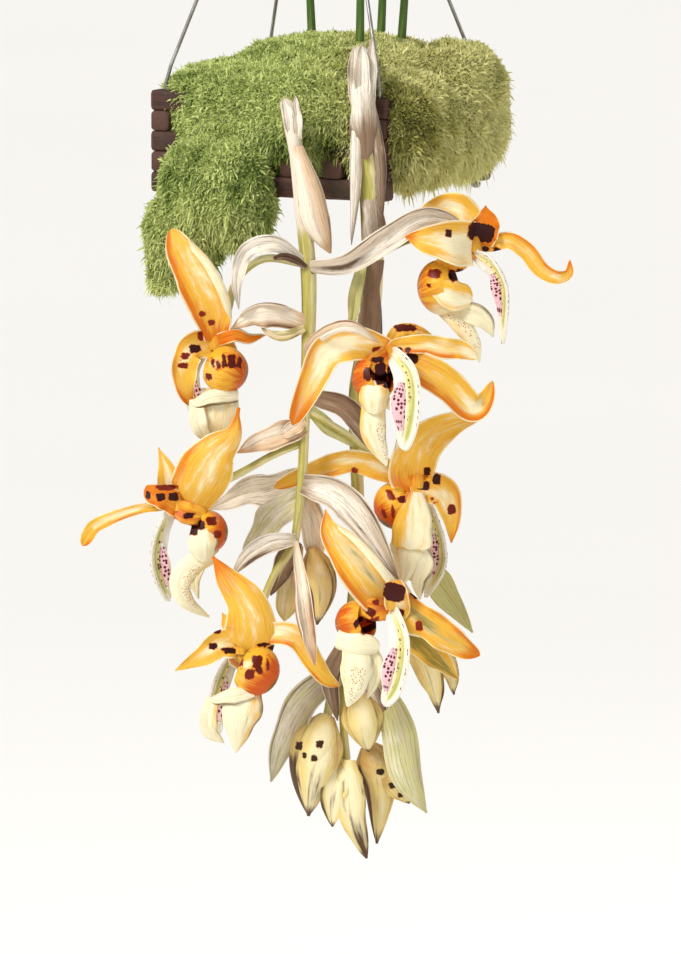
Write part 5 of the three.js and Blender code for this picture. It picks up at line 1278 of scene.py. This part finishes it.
def slat(skin, along_x, offset, layer, rng):
    """A square bar with rounded edges, slightly uneven along its length."""
    t = np.concatenate([[0, 0.004], np.linspace(0.012, 0.988, 40), [0.996, 1]])
    sides = 24
    turn = 2 * np.pi * (np.arange(sides) + 0.5) / sides
    square = 1 / np.maximum(np.abs(np.cos(turn)), np.abs(np.sin(turn)))
    square = np.minimum(square, ROUNDED)
    taper = np.concatenate([[0.86, 0.96], np.ones(40), [0.96, 0.86]])
    wear = rng.uniform(-WEAR, 0, (len(t), sides)) * (square > 1.2)
    size = BAR / 2 * square[None] * taper[:, None] + wear
    far = BASKET * (t - 0.5)[:, None] * np.ones((1, sides))
    wide, tall = size * np.cos(turn), size * np.sin(turn) + BAR * (layer + 0.5)
    ways = [far, wide + offset, tall] if along_x else [wide + offset, far, tall]
    points = np.stack(ways, -1).reshape(-1, 3)
    grain = np.stack([far, wide, tall], -1).reshape(-1, 3) + rng.uniform(0, 500, 3)
    tone = np.zeros((len(points), 4))
    tone[:, WARM] = (np.abs(wear) / WEAR + (taper < 1)[:, None]).reshape(-1).clip(0, 1)
    skin.add(points, outward(points, tube_faces(len(t) - 1, sides)), tone, grain)


rng = np.random.default_rng(7)
slat_wood = wood()
for name, along_x, offset, layer in slat_plan():
    skin = Skin()
    slat(skin, along_x, offset, layer, rng)
    skin.piece(f"{name}_worn", slat_wood, "slat_wood", name)


# Hanger: four wires into a collar with a hook
def metal():
    n = Nodes("galvanised_wire")
    cloud = n.noise(n.place(), 60, 4, 0.6)
    fine = n.noise(n.place(), 700, 2, 0.5)
    colour = n.mix(n.spread(cloud, 0.35, 0.7), (0.42, 0.41, 0.39), (0.24, 0.22, 0.20))
    n.bump(fine, 0.15, 0.0002)
    return n.set(Base_Color=colour, Metallic=0.9, Roughness=n.spread(cloud, 0.3, 0.7, 0.32, 0.55))


def unpainted(t, s, seen):
    return np.zeros((len(t), 4))


hanger_metal = metal()
hole = HALF - CORNER_INSET
STATIONS = [  # share of the way out to the corner, and height
    (1, -3), (1, RIM / 2), (1, RIM + 4), (0.97, RIM + 14), (0.51, (RIM + COLLAR_BASE) / 2),
    (0.05, COLLAR_BASE + 5),
]
BEAD = [(-4.5, 1.4), (-3.6, 2.6), (-2.4, 3), (-1.2, 2.6), (-0.3, 1.4)]  # height and radius
for number, (x, y) in enumerate(((-hole, -hole), (-hole, hole), (hole, -hole), (hole, hole)), 1):
    skin = Skin()
    points = [[x * share, y * share, z] for share, z in STATIONS]
    for low, high in zip(points[:-1], points[1:]):
        stem(skin, [low, high], [WIRE, WIRE], unpainted, sides=12, rows=1, ridge=0)
    stem(skin, [[x, y, z] for z, _ in BEAD], [radius for _, radius in BEAD], unpainted, ridge=0)
    skin.piece(f"hanger_wire_{number}_round", hanger_metal, "hanger_metal", f"hanger_wire_{number}")

skin = Skin()
arc = np.radians(-90 - np.linspace(0, 252, 22))
middle = HANG_HEIGHT - HOOK_RADIUS
hook = [[HOOK_RADIUS * math.cos(a), 0, middle + HOOK_RADIUS * math.sin(a)] for a in arc]
shank = [[0, 0, COLLAR_BASE + 4], [0, 0, COLLAR_BASE + 18]]
stem(skin, shank + hook, [HOOK_WIRE - 0.05] * 2, unpainted, sides=16, rows=120, ridge=0)
collar = [[0, 0, COLLAR_BASE + z] for z in (0, 0.8, 1.4, 6, 10.6, 11.2, 12)]
radii = [5.6, 6.6, COLLAR, COLLAR, COLLAR, 6.6, 5.6]
stem(skin, collar, radii, unpainted, sides=32, rows=36, ridge=0)
skin.piece("hanger_hook_round", hanger_metal, "hanger_metal", "hanger_hook")


# Moss: lumps under a coat of short strands
MOSS_LUMPS = [
    ([0, 0, 44], [84, 84, 30], 0.45),
    ([8, 8, 60], [64, 62, 26], 0.75),
    ([71, -32, 38], [22, 42, 32], 0.75),
    ([70, 32, 46], [25, 42, 39], 0.75),
    ([-30, -80, 6], [34, 18, 27], 0.75),
    ([-50, -83, -22], [22, 13, 22], 0.75),
    ([-16, -82, -8], [19, 11, 19], 0.75),
    ([-63, -80, -38], [11, 9, 17], 0.75),
]


def soft(values, square):
    return np.sign(values) * np.abs(values) ** square


def waves(points, length, ways, rng):
    """A smooth random field from -1 to 1 that varies over `length` millimetres."""
    total = np.zeros(len(points))
    for way in unit(rng.normal(0, 1, (ways, 3))):
        total += np.sin(points @ way * 2 * np.pi / length + rng.uniform(0, 2 * np.pi))
    return total / ways


def cushions(points):
    """How far the moss bulges out, in millimetres: cushions with crumbs on them."""
    rng = np.random.default_rng(5)
    big = 1 - np.abs(waves(points, 34, 5, rng)) * 2
    small = 1 - np.abs(waves(points, 13, 6, rng)) * 2
    return 3.4 * big + 1.9 * small + 0.8 * waves(points, 5, 6, rng)


def lump(centre, size, square, levels, turns):
    """A grid of points over one rounded lump, pushed in and out by its cushions."""
    latitude = np.linspace(-0.485, 0.485, levels + 1) * np.pi
    latitude, turn = np.meshgrid(latitude, np.linspace(0, 2 * np.pi, turns + 1)[:-1], indexing="ij")
    level = soft(np.cos(latitude), square)
    way = np.stack([soft(np.cos(turn), square) * level, soft(np.sin(turn), square) * level,
                    soft(np.sin(latitude), square)], -1).reshape(-1, 3)
    base = np.asarray(centre) + np.asarray(size) * 0.93 * way
    return base + unit(way / np.asarray(size, float)) * cushions(base)[:, None]


# Patches of painted light on the moss, and of painted shade where the amount is below zero.
MOSS_PATCHES = [  # right and up as the viewer sees them, size and how much lighter
    (78, 84, 14, 0.35), (98, 62, 12, 0.35), (54, 82, 9, 0.3), (90, 34, 14, 0.3), (60, 44, 17, -0.6),
    (38, 60, 9, -0.55), (4, 74, 13, 0.2), (-13, 52, 8, 0.25), (6, 38, 12, -0.4), (-34, 38, 10, -0.5),
    (-60, 46, 14, 0.2), (-76, 20, 12, 0.1), (-50, 8, 9, -0.35), (-62, -18, 20, 0), (-90, -42, 12, 0.2),
    (-20, 26, 12, -0.45), (8, 26, 10, -0.45), (-42, 18, 10, -0.4), (46, 30, 10, -0.3),
]


def moss_tone(points, rng):
    """Lit green on the cushions, dark between them, olive to the right and brown where it hangs lowest."""
    right, up = picture(points)
    left = smooth(60, -30, right)
    patch = waves(points, 42, 5, np.random.default_rng(9))
    patch = patch + 0.7 * waves(points, 15, 5, np.random.default_rng(3))
    light = 0.70 + 0.38 * patch + 0.05 * cushions(points) + rng.normal(0, 0.09, len(points))
    for x, y, size, lighter in MOSS_PATCHES:
        light = light + lighter * hill(right, x, size) * hill(up, y, size)
    brown = 0.55 * smooth(0.5, 1, rng.random(len(points))) * smooth(10, -30, up)
    return np.stack([light, 0.75 * (1 - left) + 0.1, brown, 0 * light], -1).clip(0, 1)


def moss_material(name, shade):
    n = Nodes(name)
    tone = n.parts(n.attribute("tone").outputs["Color"])
    lit = n.mix(tone[1], (0.80, 0.92, 0.33), (1.0, 0.94, 0.44))
    mid = n.mix(tone[1], (0.33, 0.48, 0.10), (0.60, 0.54, 0.13))
    colour = n.mix(n.spread(tone[0], 0.05, 0.4), (0.10, 0.11, 0.02), mid)
    colour = n.mix(n.spread(tone[0], 0.4, 0.95), colour, lit)
    colour = n.mix(tone[2], colour, (0.30, 0.20, 0.09))
    # The fuzz lays dark specks of painted shade between the strands, as strong as shade.
    fuzz = n.noise(n.place(), 700, 3, 0.7)
    colour = n.mix(n.spread(fuzz, 0.42, 0.66, shade, 0.0), colour, (0.012, 0.016, 0.004))
    n.bump(fuzz, 0.8, 0.002)
    sheen = dict(Sheen_Weight=0.1, Sheen_Roughness=0.5)
    return n.set(Base_Color=colour, Roughness=0.9, Specular_IOR_Level=0.15, **sheen)


# Painted shade: the mat under the strands is darker than they are.
MAT_SHADE = [0.8, 1, 1, 1]  # the mat is darker than the strands on it
rng = np.random.default_rng(21)
mat = Skin()
for centre, size, square in MOSS_LUMPS:
    levels, turns = (52, 130) if size[0] > 60 else (28, 64)
    points = lump(centre, size, square, levels, turns)
    faces = outward(points, tube_faces(levels, turns), centre)
    mat.add(points, faces, moss_tone(points, rng) * MAT_SHADE)
mat.piece("moss_mat", moss_material("moss_mat_painted_shade", 0.75), "moss", "moss")


MOSS_LOWEST = -70


def roots_on(mat, count, rng):
    """Points spread evenly over the outside of the mat, with the way that each faces."""
    points, faces = np.concatenate(mat.points), np.concatenate(mat.faces)
    a, b, c, d = (points[faces[:, k]] for k in range(4))
    facing = np.cross(c - a, d - b) / 2
    area = np.linalg.norm(facing, axis=1)
    pick = rng.choice(len(faces), count * 2, p=area / area.sum())
    u, v = rng.random((2, len(pick), 1))
    root = (a[pick] * (1 - u) + b[pick] * u) * (1 - v) + (d[pick] * (1 - u) + c[pick] * u) * v
    outside = np.ones(len(pick), bool)
    for centre, size, square in MOSS_LUMPS:
        reach = np.abs((root - centre) / np.asarray(size, float)) ** (2 / square)
        outside &= reach.sum(1) ** (square / 2) > 0.86
    outside &= root[:, 2] > MOSS_LOWEST
    return root[outside][:count], unit(facing[pick])[outside][:count]


def strands(skin, count, length, steps, rng):
    """Tapered blades along the steps, longer and more drooping where the moss hangs."""
    root, way = roots_on(mat, count, rng)
    n = len(root)
    hanging = smooth(0.35, -0.6, way[:, 2:])
    long = rng.gamma(6, length / 6, (n, 1)) + 1.2 + 0.8 * length * hanging * rng.random((n, 1))
    way = unit(way + rng.normal(0, 0.5, (n, 3)))
    droop = (0.1 + 0.5 * hanging) * rng.uniform(0.4, 1.1, (n, 1))
    side = unit(np.cross(way, rng.normal(0, 1, (n, 3))))
    wide = rng.uniform(0.35, 0.8, (n, 1))
    rings = []
    for t, taper in steps:
        middle = root + way * long * t * (1 - 0.3 * t) - [0, 0, 1] * long * droop * t**2
        rings.append(np.stack([middle - side * wide * taper, middle + side * wide * taper], 1))
    points = np.stack(rings, 1).reshape(-1, 3)
    quads = np.array([[k, k + 1, k + 3, k + 2] for k in range(0, 2 * len(steps) - 2, 2)])
    tone = np.repeat(moss_tone(root, rng), 2 * len(steps), axis=0)
    # Painted light along each strand: the tips lighter, the roots darker in painted shade.
    tone[:, 0] += np.tile(np.repeat([0.3 * t - 0.1 for t, _ in steps], 2), n)
    faces = (2 * len(steps) * np.arange(n)[:, None, None] + quads).reshape(-1, 4)
    skin.add(points, faces, tone.clip(0, 1))


moss_green = moss_material("moss_green", 0.1)
fewer = 1
BLADE = ((0, 1), (1, 0.15))  # how far along, and how wide there
LONG_BLADE = ((0, 1), (0.55, 0.8), (1, 0.1))
for name, count, length, steps in (
    ("moss_fuzz_1", 76000, 2.0, BLADE),
    ("moss_fuzz_2", 76000, 2.0, BLADE),
    ("moss_strands", 16000, 4.2, LONG_BLADE),
):
    skin = Skin()
    strands(skin, round(count * fewer), length, steps, rng)
    skin.piece(name, moss_green, "moss")


# Stage: a pale floor far below, soft lamps and the camera at the picture's angle
def stage():
    n = Nodes("pale_floor")
    cloud = n.noise(n.place(), 0.8, 2, 0.5)
    pale = n.mix(n.spread(cloud, 0.3, 0.7), (0.95, 0.945, 0.92), (0.96, 0.955, 0.93))
    material = n.set(Base_Color=pale, Roughness=0.95, Specular_IOR_Level=0.1)
    size, height = 30, -1.3
    mesh = bpy.data.meshes.new("floor")
    corners = [(-size, -size, height), (size, -size, height), (size, size, height), (-size, size, height)]
    mesh.from_pydata(corners, [], [(0, 1, 2, 3)])
    mesh.materials.append(material)
    floor = bpy.data.objects.new("floor", mesh)
    bpy.context.collection.objects.link(floor)


def look_at(thing, spot, target):
    thing.location = spot
    way = np.asarray(target) - np.asarray(spot)
    thing.rotation_euler = Vector(way).to_track_quat("-Z", "Y").to_euler()


def lamp(name, way, size, energy, colour):
    """A soft square lamp that shines on the target from this way, in metres and watts."""
    light = bpy.data.lights.new(name, "AREA")
    light.size, light.energy, light.color = size, energy, colour
    made = bpy.data.objects.new(name, light)
    bpy.context.collection.objects.link(made)
    look_at(made, target + aim(way) * LAMP_DISTANCE, target)


stage()
VIEW_CENTRE = (10.7, -159, 0)  # right and up on the picture plane, at the middle of the frame
VIEW_DEPTH = -120
FRAME_HEIGHT = 0.553  # metres that the picture spans at the target
DISTANCE = 4.0
LAMP_DISTANCE = 2.4
rise = (VIEW_CENTRE[1] + (NEAR_CORNER - VIEW_DEPTH) * math.sin(VIEW_TILT)) / math.cos(VIEW_TILT)
target = (aim([VIEW_CENTRE[0], rise, VIEW_DEPTH]) + ORIGIN) * MM
eye = target + aim([0, math.sin(VIEW_TILT), -math.cos(VIEW_TILT)]) * DISTANCE
camera = bpy.data.objects.new("camera", bpy.data.cameras.new("camera"))
camera.data.lens = camera.data.sensor_width * DISTANCE / FRAME_HEIGHT
camera.data.clip_end = 100
bpy.context.collection.objects.link(camera)
look_at(camera, eye, target)
bpy.context.scene.camera = camera

sun = bpy.data.lights.new("key", "SUN")
sun.energy, sun.color = 2.45, (1.0, 0.965, 0.91)
sun.angle = math.radians(22)  # wide, so that shadows stay soft
key = bpy.data.objects.new("key", sun)
bpy.context.collection.objects.link(key)
look_at(key, target + aim([-0.75, 0.9, -0.7]), target)
lamp("fill", [1.0, 0.1, -0.8], size=1.8, energy=8, colour=(0.93, 0.96, 1.0))
lamp("back", [0.5, 0.7, 0.9], size=1.5, energy=16, colour=(1.0, 0.98, 0.95))
world = bpy.data.worlds.new("studio")
world.use_nodes = True
sky = world.node_tree.nodes["Background"]
sky.inputs["Color"].default_value = (0.97, 0.97, 1.0, 1)
sky.inputs["Strength"].default_value = 0.5
bpy.context.scene.world = world
bpy.context.scene.view_settings.view_transform = "Standard"
